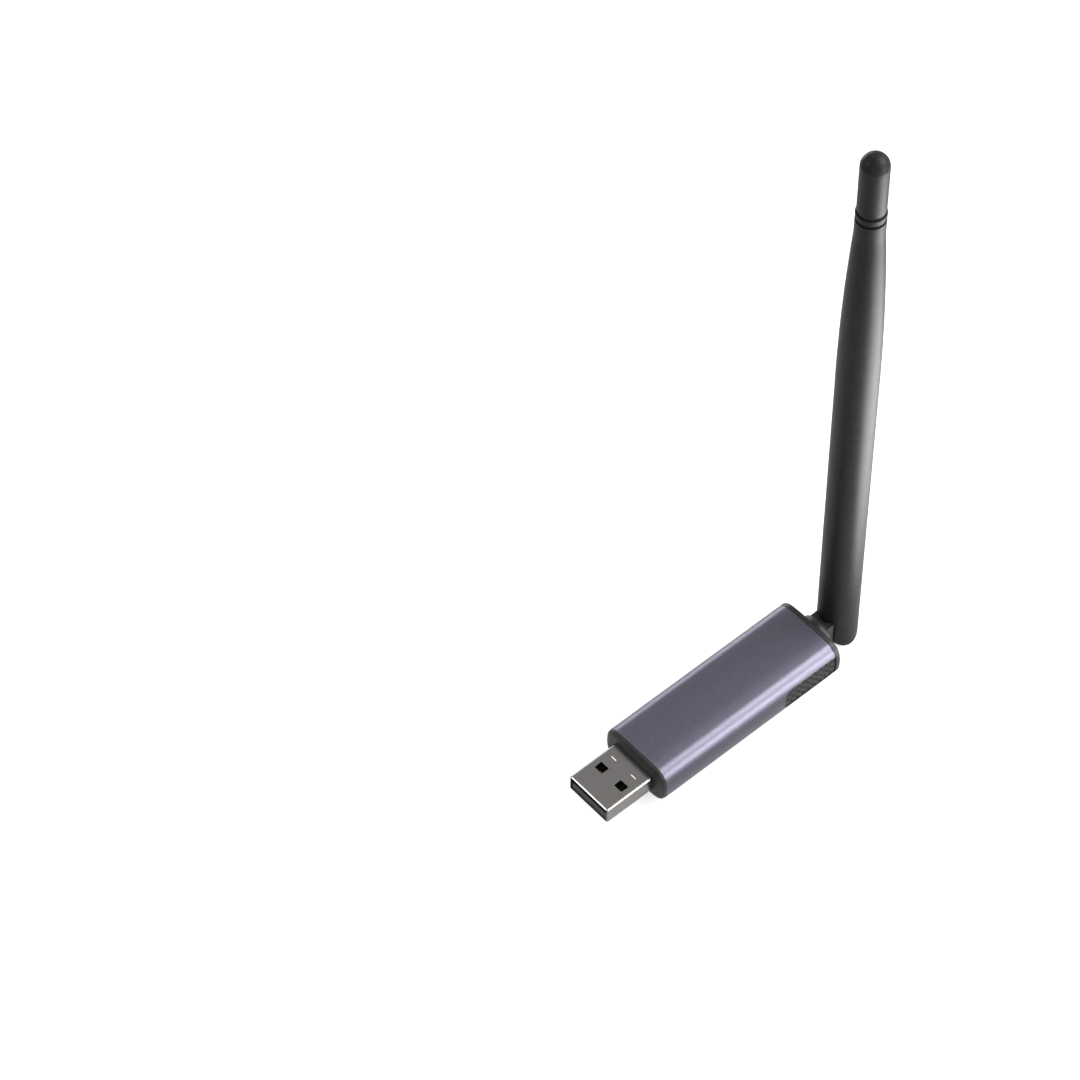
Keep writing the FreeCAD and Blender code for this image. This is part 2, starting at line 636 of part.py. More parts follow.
def hinge_coax():
    """The stretch of the lead that bends through the hinge."""
    bend_start = PIN_X - COAX_BEND
    bend_top = PIN_Z + COAX_BEND
    along = rod_x(COAX_RADIUS, COAX_JOIN, bend_start, SWIVEL_HEIGHT)
    face = Part.Face(Part.Wire([Part.makeCircle(COAX_RADIUS, Vector(bend_start, 0, PIN_Z), Vector(1, 0, 0))]))
    bend = face.revolve(Vector(bend_start, 0, bend_top), Vector(0, -1, 0), 90)
    up = rod_z(COAX_RADIUS, bend_top, bend_top + COAX_HINGE_TAIL, PIN_X)
    return along.fuse([bend, up])


# Hinge

def swivel_knuckle():
    """The turning base: a spindle, a round collar, a grooved knuckle and two trunnions."""
    collar_start = REAR_FACE + COLLAR_GAP
    collar_end = collar_start + COLLAR_LENGTH
    collar = rod_x(ANTENNA_RADIUS, collar_start, collar_end - COLLAR_ROUND, SWIVEL_HEIGHT)
    steps = corner_steps(COLLAR_ROUND)
    for (depth, inset), (next_depth, next_inset) in zip(steps, steps[1:]):
        base = Vector(collar_end - depth, 0, SWIVEL_HEIGHT)
        edge = (ANTENNA_RADIUS - inset, ANTENNA_RADIUS - next_inset, depth - next_depth)
        collar = collar.fuse(Part.makeCone(*edge, base, Vector(1, 0, 0)))
    half = KNUCKLE_THICKNESS / 2
    plate = block(collar_start, PIN_X, -half, half, PIN_Z - KNUCKLE_RADIUS, PIN_Z + KNUCKLE_RADIUS)
    plate = plate.fuse(rod_y(KNUCKLE_RADIUS, -half, half, PIN_X, PIN_Z))
    spindle = rod_x(SPINDLE_RADIUS, SPINDLE_END, collar_start + ROOT, SWIVEL_HEIGHT)
    reach = half + TRUNNION_LENGTH
    trunnions = rod_y(TRUNNION_RADIUS, -reach, reach, PIN_X, PIN_Z)
    stud_start = REAR_FACE - STOP_TRACK_DEPTH + STOP_TRACK_FIT
    stud_radius = (STOP_TRACK_OUTER - STOP_TRACK_INNER) / 2 - STOP_TRACK_FIT
    stud_height = SWIVEL_HEIGHT - (STOP_TRACK_INNER + STOP_TRACK_OUTER) / 2
    stud = rod_x(stud_radius, stud_start, collar_start + ROOT, stud_height)
    body = collar.fuse([plate, spindle, trunnions, stud])
    groove = block(
        collar_end + KNUCKLE_GROOVE_LEAD, PIN_X + ANTENNA_RADIUS, -KNUCKLE_GROOVE / 2, KNUCKLE_GROOVE / 2,
        PIN_Z - KNUCKLE_GROOVE_FLOOR, PIN_Z + ANTENNA_RADIUS
    )
    bore = rod_x(SPINDLE_BORE, SPINDLE_END - OVERSHOOT, PIN_X, SWIVEL_HEIGHT)
    return body.cut([groove, bore, clip_groove()])


def clip_groove():
    """The groove that the retaining clip sits in."""
    x1 = REAR_WALL_START - CLIP_WALL_GAP + CLIP_FIT
    x0 = x1 - CLIP_THICKNESS - 2 * CLIP_FIT
    ring = rod_x(SPINDLE_RADIUS + OVERSHOOT, x0, x1, SWIVEL_HEIGHT)
    return ring.cut(rod_x(SPINDLE_RADIUS - SPINDLE_GROOVE_DEPTH, x0, x1, SWIVEL_HEIGHT))


def retaining_clip():
    """The open ring that keeps the spindle in the rear cap."""
    x1 = REAR_WALL_START - CLIP_WALL_GAP
    x0 = x1 - CLIP_THICKNESS
    inner = SPINDLE_RADIUS - SPINDLE_GROOVE_DEPTH + CLIP_FIT
    ring = rod_x(CLIP_OUTER_RADIUS, x0, x1, SWIVEL_HEIGHT).cut(rod_x(inner, x0, x1, SWIVEL_HEIGHT))
    half = CLIP_GAP_WIDTH / 2
    gap_top = SWIVEL_HEIGHT + CLIP_OUTER_RADIUS + OVERSHOOT
    return ring.cut(block(x0, x1, -half, half, SWIVEL_HEIGHT, gap_top))


# Antenna

def turned(profile):
    """A solid of revolution about the antenna's axis, from radius and height points."""
    points = [Vector(PIN_X + radius, 0, z) for radius, z in profile]
    face = Part.Face(Part.makePolygon(points + points[:1]))
    return face.revolve(Vector(PIN_X, 0, 0), Vector(0, 0, 1), 360)


def antenna_fork():
    """The antenna's lower piece: two rounded cheeks round the knuckle and a spigot above."""
    low = PIN_Z - ANTENNA_RADIUS
    body = rod_z(ANTENNA_RADIUS, low, FORK_TOP, PIN_X)
    round_end = rod_y(ANTENNA_RADIUS, -ANTENNA_RADIUS, ANTENNA_RADIUS, PIN_X, PIN_Z)
    upper = block(
        PIN_X - ANTENNA_RADIUS, PIN_X + ANTENNA_RADIUS, -ANTENNA_RADIUS, ANTENNA_RADIUS, PIN_Z, FORK_TOP
    )
    body = body.common(round_end.fuse(upper))
    spigot = rod_z(FORK_SPIGOT_RADIUS, FORK_TOP - ROOT, FORK_TOP + FORK_SPIGOT_LENGTH, PIN_X)
    slot_half = KNUCKLE_THICKNESS / 2 + FORK_SIDE_GAP
    ceiling = PIN_Z + KNUCKLE_RADIUS + FORK_CEILING_GAP
    across = ANTENNA_RADIUS + OVERSHOOT
    slot = block(PIN_X - across, PIN_X + across, -slot_half, slot_half, low - OVERSHOOT, ceiling)
    socket_reach = KNUCKLE_THICKNESS / 2 + TRUNNION_LENGTH + TRUNNION_END_GAP
    sockets = rod_y(TRUNNION_RADIUS + TRUNNION_FIT, -socket_reach, socket_reach, PIN_X, PIN_Z)
    bore = rod_z(FORK_BORE, low, FORK_TOP + FORK_SPIGOT_LENGTH + OVERSHOOT, PIN_X)
    flare = Part.makeCone(FORK_FLARE, FORK_BORE, FORK_FLARE - FORK_BORE, Vector(PIN_X, 0, ceiling))
    return body.fuse(spigot).cut([slot, sockets, bore, flare])


def taper_points(start_radius, end_radius, z0, z1):
    """Points on the curve of a wall that leaves the vertical at z0 and reaches the end radius at z1."""
    height = z1 - z0
    drop = start_radius - end_radius
    curve = (height ** 2 + drop ** 2) / (2 * drop)
    angle = math.asin(height / curve)
    turns = [angle * step / TAPER_STEPS for step in range(1, TAPER_STEPS)]
    return [
        Vector(PIN_X + start_radius - curve * (1 - math.cos(turn)), 0, z0 + curve * math.sin(turn))
        for turn in turns
    ]


def antenna_tube():
    """The long tube with a curved taper, a bore of straight draft and a turned groove near its top."""
    low = FORK_TOP + SEAM_RELIEF
    wall_low = PIN_X + ANTENNA_RADIUS - TUBE_WALL
    wall_high = PIN_X + NECK_RADIUS - TUBE_WALL
    corners = [
        Vector(PIN_X + NECK_RADIUS, 0, TAPER_END),
        Vector(PIN_X + NECK_RADIUS, 0, TUBE_END),
        Vector(wall_high, 0, TUBE_END),
        Vector(wall_high, 0, TAPER_END),
        Vector(wall_low, 0, TAPER_START),
        Vector(wall_low, 0, low),
        Vector(PIN_X + ANTENNA_RADIUS, 0, low),
        Vector(PIN_X + ANTENNA_RADIUS, 0, TAPER_START),
    ]
    corners += taper_points(ANTENNA_RADIUS, NECK_RADIUS, TAPER_START, TAPER_END)
    wall = Part.Face(Part.makePolygon(corners + corners[:1]))
    tube = wall.revolve(Vector(PIN_X, 0, 0), Vector(0, 0, 1), 360)
    groove_top = TUBE_END + GROOVE_WIDTH - GROOVE_SPACING
    groove = rod_z(NECK_RADIUS + OVERSHOOT, groove_top - GROOVE_WIDTH, groove_top, PIN_X)
    groove = groove.cut(rod_z(NECK_RADIUS - GROOVE_DEPTH, groove_top - GROOVE_WIDTH, groove_top, PIN_X))
    return tube.cut(groove)


def antenna_cap():
    """The round-ended tip, with a neck that leaves the upper groove and a spigot below."""
    body_start = TUBE_END + GROOVE_WIDTH
    dome_start = TIP_END - TIP_RADIUS
    body = rod_z(TIP_RADIUS, body_start, dome_start, PIN_X)
    dome = Part.makeSphere(TIP_RADIUS, Vector(PIN_X, 0, dome_start), Vector(0, 0, 1), 0, 90, 360)
    neck = rod_z(NECK_RADIUS - GROOVE_DEPTH, TUBE_END, body_start, PIN_X)
    spigot = rod_z(NECK_RADIUS - TUBE_WALL - TUBE_FIT, TUBE_END - TIP_SPIGOT_LENGTH, TUBE_END, PIN_X)
    return body.fuse([dome, neck, spigot])


def antenna_coax():
    """The lead inside the antenna, from the hinge to the dipole's feed point."""
    start = PIN_Z + COAX_BEND + COAX_HINGE_TAIL
    return rod_z(COAX_RADIUS, start, PIN_Z + DIPOLE_FEED, PIN_X)


def dipole_sleeve():
    """The lower half of the dipole: a metal tube round the lead, closed at its top."""
    top = PIN_Z + DIPOLE_FEED - DIPOLE_TOP_SETBACK
    tube = rod_z(DIPOLE_RADIUS, top - QUARTER_WAVE, top, PIN_X)
    room = rod_z(DIPOLE_RADIUS - DIPOLE_SHEET, top - QUARTER_WAVE, top - DIPOLE_SHEET, PIN_X)
    return tube.cut([room, rod_z(COAX_RADIUS + INSULATOR_FIT, top - OVERSHOOT, top + OVERSHOOT, PIN_X)])


def radiator_rod():
    """The upper half of the dipole."""
    start = PIN_Z + DIPOLE_FEED
    return rod_z(RADIATOR_RADIUS, start, start + QUARTER_WAVE, PIN_X)


def radiator_spacer():
    """The ring that centres the rod in the tube."""
    top = PIN_Z + DIPOLE_FEED + QUARTER_WAVE - SPACER_FROM_END
    bore = rod_z(RADIATOR_RADIUS + INSULATOR_FIT, top - SPACER_LENGTH, top, PIN_X)
    return rod_z(bore_radius(top) - SPACER_FIT, top - SPACER_LENGTH, top, PIN_X).cut(bore)


def bore_radius(z):
    """The tube's inner radius at a height on its taper."""
    share = max(z - TAPER_START, 0) / TAPER_LENGTH
    return ANTENNA_RADIUS - TUBE_WALL - share * (ANTENNA_RADIUS - NECK_RADIUS)


save("housing_sleeve", housing_sleeve())
save("front_cap", front_cap())
save("rear_cap", rear_cap())
save("usb_shell", usb_shell())
save("usb_insulator", usb_insulator())
for name, y, start in CONTACT_PITCHES:
    save("usb_contact_" + name, contact_bar(y, start))
save("circuit_board", circuit_board())
save("shield_can", shield_can())
save("radio_chip", chip(*RADIO_CHIP))
save("usb_bridge_chip", chip(*BRIDGE_CHIP))
save("radio_crystal", chip(*CRYSTAL))
save("power_inductor", chip(BOARD_END - INDUCTOR_FROM_BOARD_END, *INDUCTOR))
save("voltage_regulator", small_outline_part(REGULATOR, (-1, 1), (-1, 0, 1)))
save("esd_array", small_outline_part(ESD_ARRAY, (-1, 0, 1), (-1, 0, 1)))
save("capacitors", scattered(CAPACITOR_PLACES, CAPACITOR_SIZE))
save("resistors", scattered(RESISTOR_PLACES, RESISTOR_SIZE))
save("coax_receptacle", coax_receptacle())
save("coax_plug", coax_plug())
save("coax_lead", coax_lead())
save("swivel_knuckle", swivel_knuckle())
save("retaining_clip", retaining_clip())
save("hinge_coax", hinge_coax())
save("antenna_fork", antenna_fork())
save("antenna_tube", antenna_tube())
save("antenna_cap", antenna_cap())
save("antenna_coax", antenna_coax())
save("dipole_sleeve", dipole_sleeve())
save("radiator_rod", radiator_rod())
save("radiator_spacer", radiator_spacer())
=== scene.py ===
import bpy
import bmesh
import math
from mathutils import Matrix, Vector


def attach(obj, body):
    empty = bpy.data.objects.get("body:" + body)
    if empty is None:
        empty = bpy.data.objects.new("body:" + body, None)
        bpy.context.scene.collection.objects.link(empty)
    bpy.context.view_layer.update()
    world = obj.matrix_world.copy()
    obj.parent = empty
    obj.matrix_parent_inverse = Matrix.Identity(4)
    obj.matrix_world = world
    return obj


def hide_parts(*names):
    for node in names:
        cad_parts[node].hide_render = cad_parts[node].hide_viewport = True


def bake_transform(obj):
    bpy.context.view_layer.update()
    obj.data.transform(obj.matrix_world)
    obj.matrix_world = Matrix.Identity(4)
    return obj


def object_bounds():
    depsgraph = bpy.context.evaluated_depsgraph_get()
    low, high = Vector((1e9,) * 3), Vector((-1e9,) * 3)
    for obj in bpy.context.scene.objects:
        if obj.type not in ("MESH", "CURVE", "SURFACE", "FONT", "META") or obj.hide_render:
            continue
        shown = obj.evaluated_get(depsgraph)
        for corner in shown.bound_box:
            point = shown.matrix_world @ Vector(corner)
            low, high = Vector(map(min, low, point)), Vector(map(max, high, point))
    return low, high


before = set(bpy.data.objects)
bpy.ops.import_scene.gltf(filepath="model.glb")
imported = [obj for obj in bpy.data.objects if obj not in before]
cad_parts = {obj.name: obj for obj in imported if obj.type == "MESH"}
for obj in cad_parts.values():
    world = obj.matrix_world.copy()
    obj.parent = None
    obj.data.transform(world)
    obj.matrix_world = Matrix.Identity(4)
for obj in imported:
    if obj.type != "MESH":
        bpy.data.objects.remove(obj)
cadBox = [list(corner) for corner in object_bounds()]
print("frame loaded,", len(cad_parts), "nodes")


# camera, floor and light

cameraView = {
    "place": (-0.3498325, -0.3892049, 0.7873761),
    "right": (0.75275657, -0.65828723, -0.00393245),
    "up": (0.5280019, 0.60018508, 0.60082599),
    "look": (0.39315588, 0.45435205, -0.79937017),
    "lens": 149.13, "sensor": 36, "near": 0.05, "far": 20,
}


def placeCamera(view):
    lens = bpy.data.cameras.new("mainCamera")
    lens.lens = view["lens"]
    lens.sensor_width = view["sensor"]
    lens.clip_start = view["near"]
    lens.clip_end = view["far"]
    camera = bpy.data.objects.new("mainCamera", lens)
    bpy.context.scene.collection.objects.link(camera)
    back = -Vector(view["look"])
    turn = Matrix((view["right"], view["up"], back)).transposed()
    camera.matrix_world = Matrix.Translation(view["place"]) @ turn.to_4x4()
    bpy.context.scene.camera = camera


stageSet = {
    "floorSize": 6.0,
    "floorDrop": 0.00004,
    "floorColour": (0.92, 0.92, 0.925),
    "shadowShare": 0.3,
    "domeStops": [(0.0, 1.0), (0.15, 0.96), (0.5, 0.86), (0.8, 0.78), (1.0, 0.74)],
    "domeTint": (0.975, 0.98, 1.0),
    "lampDiffuse": 0.35,  # the lamps light gloss in full, and colour by this share
}

lampSet = {
    "keyLamp": {
        "place": (0.185, -0.3, 0.115), "aim": (0.06, -0.009, 0.0), "size": (0.13, 0.17), "power": 1.95,
    },
    "skyLamp": {
        "place": (0.268, -0.122, 0.325), "aim": (0.055, -0.005, 0.0), "size": (0.22, 0.2), "power": 3.5,
    },
    "topLamp": {
        "place": (0.225, 0.227, 0.4), "aim": (0.03, 0.0, 0.0), "size": (0.3, 0.3), "power": 0.1,
    },
    "farLamp": {
        "place": (0.19, 0.33, 0.07), "aim": (0.04, 0.0, 0.0), "size": (0.2, 0.1), "power": 0.8,
    },
    "tableLamp": {
        "place": (0.128, -0.074, -0.0045), "aim": (0.1281, -0.074, 0.1), "size": (0.1, 0.1), "power": 0.62,
    },
    "leftLamp": {
        "place": (-0.5, -0.42, 0.6), "aim": (0.04, 0.0, 0.02), "size": (0.55, 0.55), "power": 0.6,
    },
    "backLamp": {
        "place": (-0.4, 0.35, 0.45), "aim": (0.0, 0.0, 0.0), "size": (0.26, 0.26), "power": 2.6,
    },
}


def rampOf(tree, value, stops):
    ramp = tree.nodes.new("ShaderNodeValToRGB")
    marks = ramp.color_ramp.elements
    while len(marks) < len(stops):
        marks.new(0.5)
    for mark, (position, colour) in zip(marks, stops):
        mark.position = position
        mark.color = (*colour, 1)
    tree.links.new(value, ramp.inputs["Fac"])
    return ramp.outputs["Color"]


def makeFloor(setup):
    bpy.ops.object.select_all(action="DESELECT")
    low = cadBox[0][2] - setup["floorDrop"]
    bpy.ops.mesh.primitive_plane_add(size=setup["floorSize"], location=(0, 0, low))
    floor = bpy.context.object
    floor.name = "floor"
    finish = bpy.data.materials.new("floorPaint")
    finish.use_nodes = True
    tree = finish.node_tree
    tree.nodes.clear()
    paint = tree.nodes.new("ShaderNodeBsdfDiffuse")
    paint.inputs["Color"].default_value = (*setup["floorColour"], 1)
    glow = tree.nodes.new("ShaderNodeEmission")
    glow.inputs["Strength"].default_value = 1.0
    # the camera and mirrors see it white, except for the share that keeps the shadow
    rays = tree.nodes.new("ShaderNodeLightPath")
    seen = tree.nodes.new("ShaderNodeMath")
    seen.operation = "MAXIMUM"
    tree.links.new(rays.outputs["Is Camera Ray"], seen.inputs[0])
    tree.links.new(rays.outputs["Is Glossy Ray"], seen.inputs[1])
    through = tree.nodes.new("ShaderNodeMath")
    through.operation = "MAXIMUM"
    tree.links.new(seen.outputs[0], through.inputs[0])
    tree.links.new(rays.outputs["Is Transmission Ray"], through.inputs[1])
    share = tree.nodes.new("ShaderNodeMath")
    share.operation = "MULTIPLY"
    share.inputs[1].default_value = 1 - setup["shadowShare"]
    tree.links.new(through.outputs[0], share.inputs[0])
    mix = tree.nodes.new("ShaderNodeMixShader")
    tree.links.new(share.outputs[0], mix.inputs[0])
    tree.links.new(paint.outputs[0], mix.inputs[1])
    tree.links.new(glow.outputs[0], mix.inputs[2])
    out = tree.nodes.new("ShaderNodeOutputMaterial")
    tree.links.new(mix.outputs[0], out.inputs["Surface"])
    floor.data.materials.append(finish)


def makeWorld(setup):
    # a soft dome: pale at the horizon, dimmer overhead
    world = bpy.data.worlds.new("studio")
    bpy.context.scene.world = world
    world.use_nodes = True
    tree = world.node_tree
    tree.nodes.clear()
    place = tree.nodes.new("ShaderNodeTexCoord")
    split = tree.nodes.new("ShaderNodeSeparateXYZ")
    tree.links.new(place.outputs["Generated"], split.inputs["Vector"])
    tint = setup["domeTint"]
    stops = [(height, [level * part for part in tint]) for height, level in setup["domeStops"]]
    light = tree.nodes.new("ShaderNodeBackground")
    tree.links.new(rampOf(tree, split.outputs["Z"], stops), light.inputs["Color"])
    out = tree.nodes.new("ShaderNodeOutputWorld")
    tree.links.new(light.outputs[0], out.inputs["Surface"])


def hangLamps(lamps, diffuseShare):
    for name, lamp in lamps.items():
        light = bpy.data.lights.new(name, "AREA")
        light.shape = "RECTANGLE"
        light.size, light.size_y = lamp["size"]
        light.energy = lamp["power"]
        light.diffuse_factor = diffuseShare
        holder = bpy.data.objects.new(name, light)
        bpy.context.scene.collection.objects.link(holder)
        place = Vector(lamp["place"])
        holder.location = place
        holder.rotation_euler = (Vector(lamp["aim"]) - place).to_track_quat("-Z", "Y").to_euler()
        holder.visible_camera = False


placeCamera(cameraView)
makeFloor(stageSet)
makeWorld(stageSet)
hangLamps(lampSet, stageSet["lampDiffuse"])
bpy.context.scene.view_settings.view_transform = "Standard"
print("camera, floor and lights placed")


# finishes

def startFinish(name):
    finish = bpy.data.materials.new(name)
    finish.use_nodes = True
    tree = finish.node_tree
    shader = tree.nodes["Principled BSDF"]
    place = tree.nodes.new("ShaderNodeTexCoord")
    return finish, tree, shader, place.outputs["Object"]


def noiseOn(tree, place, scale, detail=2.0, stretch=None):
    if stretch:
        mapping = tree.nodes.new("ShaderNodeMapping")
        mapping.inputs["Scale"].default_value = stretch
        tree.links.new(place, mapping.inputs["Vector"])
        place = mapping.outputs["Vector"]
    noise = tree.nodes.new("ShaderNodeTexNoise")
    noise.inputs["Scale"].default_value = scale
    noise.inputs["Detail"].default_value = detail
    tree.links.new(place, noise.inputs["Vector"])
    return noise.outputs["Fac"]


def rangeOf(tree, value, low, high, fromLow=0.3, fromHigh=0.7):
    spread = tree.nodes.new("ShaderNodeMapRange")
    spread.inputs["From Min"].default_value = fromLow
    spread.inputs["From Max"].default_value = fromHigh
    spread.inputs["To Min"].default_value = low
    spread.inputs["To Max"].default_value = high
    tree.links.new(value, spread.inputs["Value"])
    return spread.outputs["Result"]


def bumpOf(tree, height, strength, distance, before=None):
    bump = tree.nodes.new("ShaderNodeBump")
    bump.inputs["Strength"].default_value = strength
    bump.inputs["Distance"].default_value = distance
    tree.links.new(height, bump.inputs["Height"])
    if before:
        tree.links.new(before, bump.inputs["Normal"])
    return bump.outputs["Normal"]


def grainedFinish(name, look):
    finish, tree, shader, place = startFinish(name)
    tone = noiseOn(tree, place, look["toneScale"], 3.0, look.get("stretch"))
    grain = noiseOn(tree, place, look["grainScale"], 2.0, look.get("stretch"))
    colour = rampOf(tree, tone, [(0.3, look["dark"]), (0.7, look["light"])])
    tree.links.new(colour, shader.inputs["Base Color"])
    tree.links.new(rangeOf(tree, grain, *look["rough"]), shader.inputs["Roughness"])
    if look["bump"]:
        tree.links.new(bumpOf(tree, grain, look["bump"], look["bumpDepth"]), shader.inputs["Normal"])
    shader.inputs["Metallic"].default_value = look.get("metal", 0.0)
    shader.inputs["IOR"].default_value = look.get("index", 1.5)
    shader.inputs["Coat Weight"].default_value = look.get("coat", 0.0)
    shader.inputs["Coat Roughness"].default_value = look.get("coatRough", 0.1)
    return finish


looks = {
    "anodisedSleeve": {
        "dark": (0.064, 0.0616, 0.0792), "light": (0.072, 0.0692, 0.0888),
        "toneScale": 1600, "grainScale": 5200,
        "rough": (0.42, 0.47), "bump": 0.2, "bumpDepth": 0.00002, "metal": 1.0,
    },
    "blackPlastic": {
        "dark": (0.005, 0.005, 0.0055), "light": (0.008, 0.008, 0.0085), "toneScale": 900, "grainScale": 4200,
        "rough": (0.44, 0.5), "bump": 0.18, "bumpDepth": 0.00002, "index": 1.16,
    },
    "capPlastic": {
        "dark": (0.005, 0.0051, 0.0047), "light": (0.008, 0.0082, 0.0076),
        "toneScale": 600, "grainScale": 4200,
        "rough": (0.42, 0.52), "bump": 0.2, "bumpDepth": 0.00002, "index": 1.29,
    },
    "hingePlastic": {
        "dark": (0.008, 0.008, 0.008), "light": (0.012, 0.012, 0.012), "toneScale": 700, "grainScale": 4200,
        "rough": (0.42, 0.5), "bump": 0.15, "bumpDepth": 0.00002, "index": 1.25,
    },
    "knurledPlastic": {
        "dark": (0.008, 0.008, 0.008), "light": (0.013, 0.013, 0.013), "toneScale": 900, "grainScale": 4200,
        "rough": (0.4, 0.5), "bump": 0.2, "bumpDepth": 0.00002, "index": 1.19,
    },
    "plugSteel": {
        "dark": (0.143, 0.137, 0.1315), "light": (0.154, 0.1475, 0.1415),
        "toneScale": 1800, "grainScale": 5200,
        "rough": (0.24, 0.26), "bump": 0, "metal": 1.0, "stretch": (0.2, 1.0, 1.0),
    },
    "insulatorPlastic": {
        "dark": (0.012, 0.013, 0.012), "light": (0.018, 0.019, 0.018), "toneScale": 700, "grainScale": 3800,
        "rough": (0.38, 0.5), "bump": 0.15, "bumpDepth": 0.00002, "index": 1.3,
    },
    "contactGold": {
        "dark": (0.72, 0.5, 0.19), "light": (0.83, 0.6, 0.26), "toneScale": 1500, "grainScale": 6000,
        "rough": (0.18, 0.28), "bump": 0.08, "bumpDepth": 0.00001, "metal": 1.0, "stretch": (0.15, 1.0, 1.0),
    },
    "shieldTin": {
        "dark": (0.55, 0.55, 0.53), "light": (0.66, 0.66, 0.64), "toneScale": 700, "grainScale": 3000,
        "rough": (0.26, 0.42), "bump": 0.12, "bumpDepth": 0.00001, "metal": 1.0,
    },
    "chipResin": {
        "dark": (0.022, 0.022, 0.024), "light": (0.036, 0.036, 0.038), "toneScale": 1600, "grainScale": 9000,
        "rough": (0.5, 0.66), "bump": 0.25, "bumpDepth": 0.00001,
    },
    "crystalMetal": {
        "dark": (0.62, 0.58, 0.48), "light": (0.74, 0.7, 0.6), "toneScale": 1400, "grainScale": 5200,
        "rough": (0.16, 0.28), "bump": 0.08, "bumpDepth": 0.00001, "metal": 1.0,
    },
    "capacitorCeramic": {
        "dark": (0.3, 0.2, 0.11), "light": (0.42, 0.3, 0.18), "toneScale": 2400, "grainScale": 9000,
        "rough": (0.4, 0.55), "bump": 0.15, "bumpDepth": 0.00001,
    },
    "resistorFilm": {
        "dark": (0.02, 0.02, 0.022), "light": (0.05, 0.05, 0.056), "toneScale": 3000, "grainScale": 9000,
        "rough": (0.3, 0.45), "bump": 0.1, "bumpDepth": 0.00001,
    },
    "connectorGold": {
        "dark": (0.7, 0.5, 0.22), "light": (0.82, 0.61, 0.3), "toneScale": 2000, "grainScale": 7000,
        "rough": (0.2, 0.32), "bump": 0.08, "bumpDepth": 0.00001, "metal": 1.0,
    },
    "leadJacket": {
        "dark": (0.018, 0.018, 0.018), "light": (0.03, 0.03, 0.03), "toneScale": 1400, "grainScale": 6000,
        "rough": (0.38, 0.52), "bump": 0.15, "bumpDepth": 0.00001,
    },
    "clipSteel": {
        "dark": (0.4, 0.4, 0.41), "light": (0.52, 0.52, 0.53), "toneScale": 900, "grainScale": 5000,
        "rough": (0.26, 0.4), "bump": 0.1, "bumpDepth": 0.00001, "metal": 1.0,
    },
    "dipoleBrass": {
        "dark": (0.58, 0.4, 0.17), "light": (0.7, 0.52, 0.25), "toneScale": 500, "grainScale": 3200,
        "rough": (0.24, 0.38), "bump": 0.1, "bumpDepth": 0.00001, "metal": 1.0, "stretch": (1.0, 1.0, 0.1),
    },
    "radiatorCopper": {
        "dark": (0.6, 0.29, 0.17), "light": (0.74, 0.4, 0.25), "toneScale": 600, "grainScale": 4200,
        "rough": (0.24, 0.36), "bump": 0.1, "bumpDepth": 0.00001, "metal": 1.0, "stretch": (1.0, 1.0, 0.1),
    },
    "spacerPlastic": {
        "dark": (0.62, 0.61, 0.57), "light": (0.74, 0.73, 0.7), "toneScale": 700, "grainScale": 4200,
        "rough": (0.4, 0.52), "bump": 0.12, "bumpDepth": 0.00001,
    },
}
finishes = {name: grainedFinish(name, look) for name, look in looks.items()}


boardLook = {
    "mask": (0.012, 0.062, 0.028), "maskLight": (0.014, 0.072, 0.032), "run": (0.028, 0.12, 0.052),
    "runScale": 420, "runWidth": 0.03, "runLength": 0.9, "runOffset": 0.5, "runSquash": 0.7,
    "runBump": 0.4, "runDepth": 0.00003,
    "speckleScale": 5200, "rough": (0.24, 0.34), "speckleBump": 0.08, "speckleDepth": 0.00001,
}


def boardFinish(look):
    # solder mask with copper runs that show as slightly raised, lighter green lines
    finish, tree, shader, place = startFinish("boardLaminate")
    runs = tree.nodes.new("ShaderNodeTexBrick")
    runs.offset = look["runOffset"]
    runs.squash = look["runSquash"]
    runs.inputs["Color1"].default_value = (*look["mask"], 1)
    runs.inputs["Color2"].default_value = (*look["maskLight"], 1)
    runs.inputs["Mortar"].default_value = (*look["run"], 1)
    runs.inputs["Scale"].default_value = look["runScale"]
    runs.inputs["Mortar Size"].default_value = look["runWidth"]
    runs.inputs["Brick Width"].default_value = look["runLength"]
    tree.links.new(place, runs.inputs["Vector"])
    tree.links.new(runs.outputs["Color"], shader.inputs["Base Color"])
    speckle = noiseOn(tree, place, look["speckleScale"])
    tree.links.new(rangeOf(tree, speckle, *look["rough"]), shader.inputs["Roughness"])
    low = bumpOf(tree, runs.outputs["Fac"], look["runBump"], look["runDepth"])
    both = bumpOf(tree, speckle, look["speckleBump"], look["speckleDepth"], low)
    tree.links.new(both, shader.inputs["Normal"])
    return finish


finishes["boardLaminate"] = boardFinish(boardLook)
print("finishes made:", len(finishes))


# modelling helpers: pieces are drawn in millimetres and shrunk when they are finished

def leaveEdit():
    if bpy.context.object and bpy.context.object.mode == "EDIT":
        bpy.ops.object.mode_set(mode="OBJECT")


def pickOnly(piece, *more):
    leaveEdit()
    bpy.ops.object.select_all(action="DESELECT")
    for other in (piece, *more):
        other.select_set(True)
    bpy.context.view_layer.objects.active = piece


def pickNothing():
    # the floor is made active, so that no CAD node takes part in what comes next
    pickOnly(bpy.data.objects["floor"])
    bpy.ops.object.select_all(action="DESELECT")


def openPiece(piece):
    pickOnly(piece)
    bpy.ops.object.mode_set(mode="EDIT")
    bpy.ops.mesh.select_mode(type="VERT")
    bpy.ops.mesh.select_all(action="DESELECT")


def pickVerts(piece, test):
    work = bmesh.from_edit_mesh(piece.data)
    for vert in work.verts:
        vert.select_set(bool(test(vert)))
    work.select_flush_mode()
    bmesh.update_edit_mesh(piece.data)


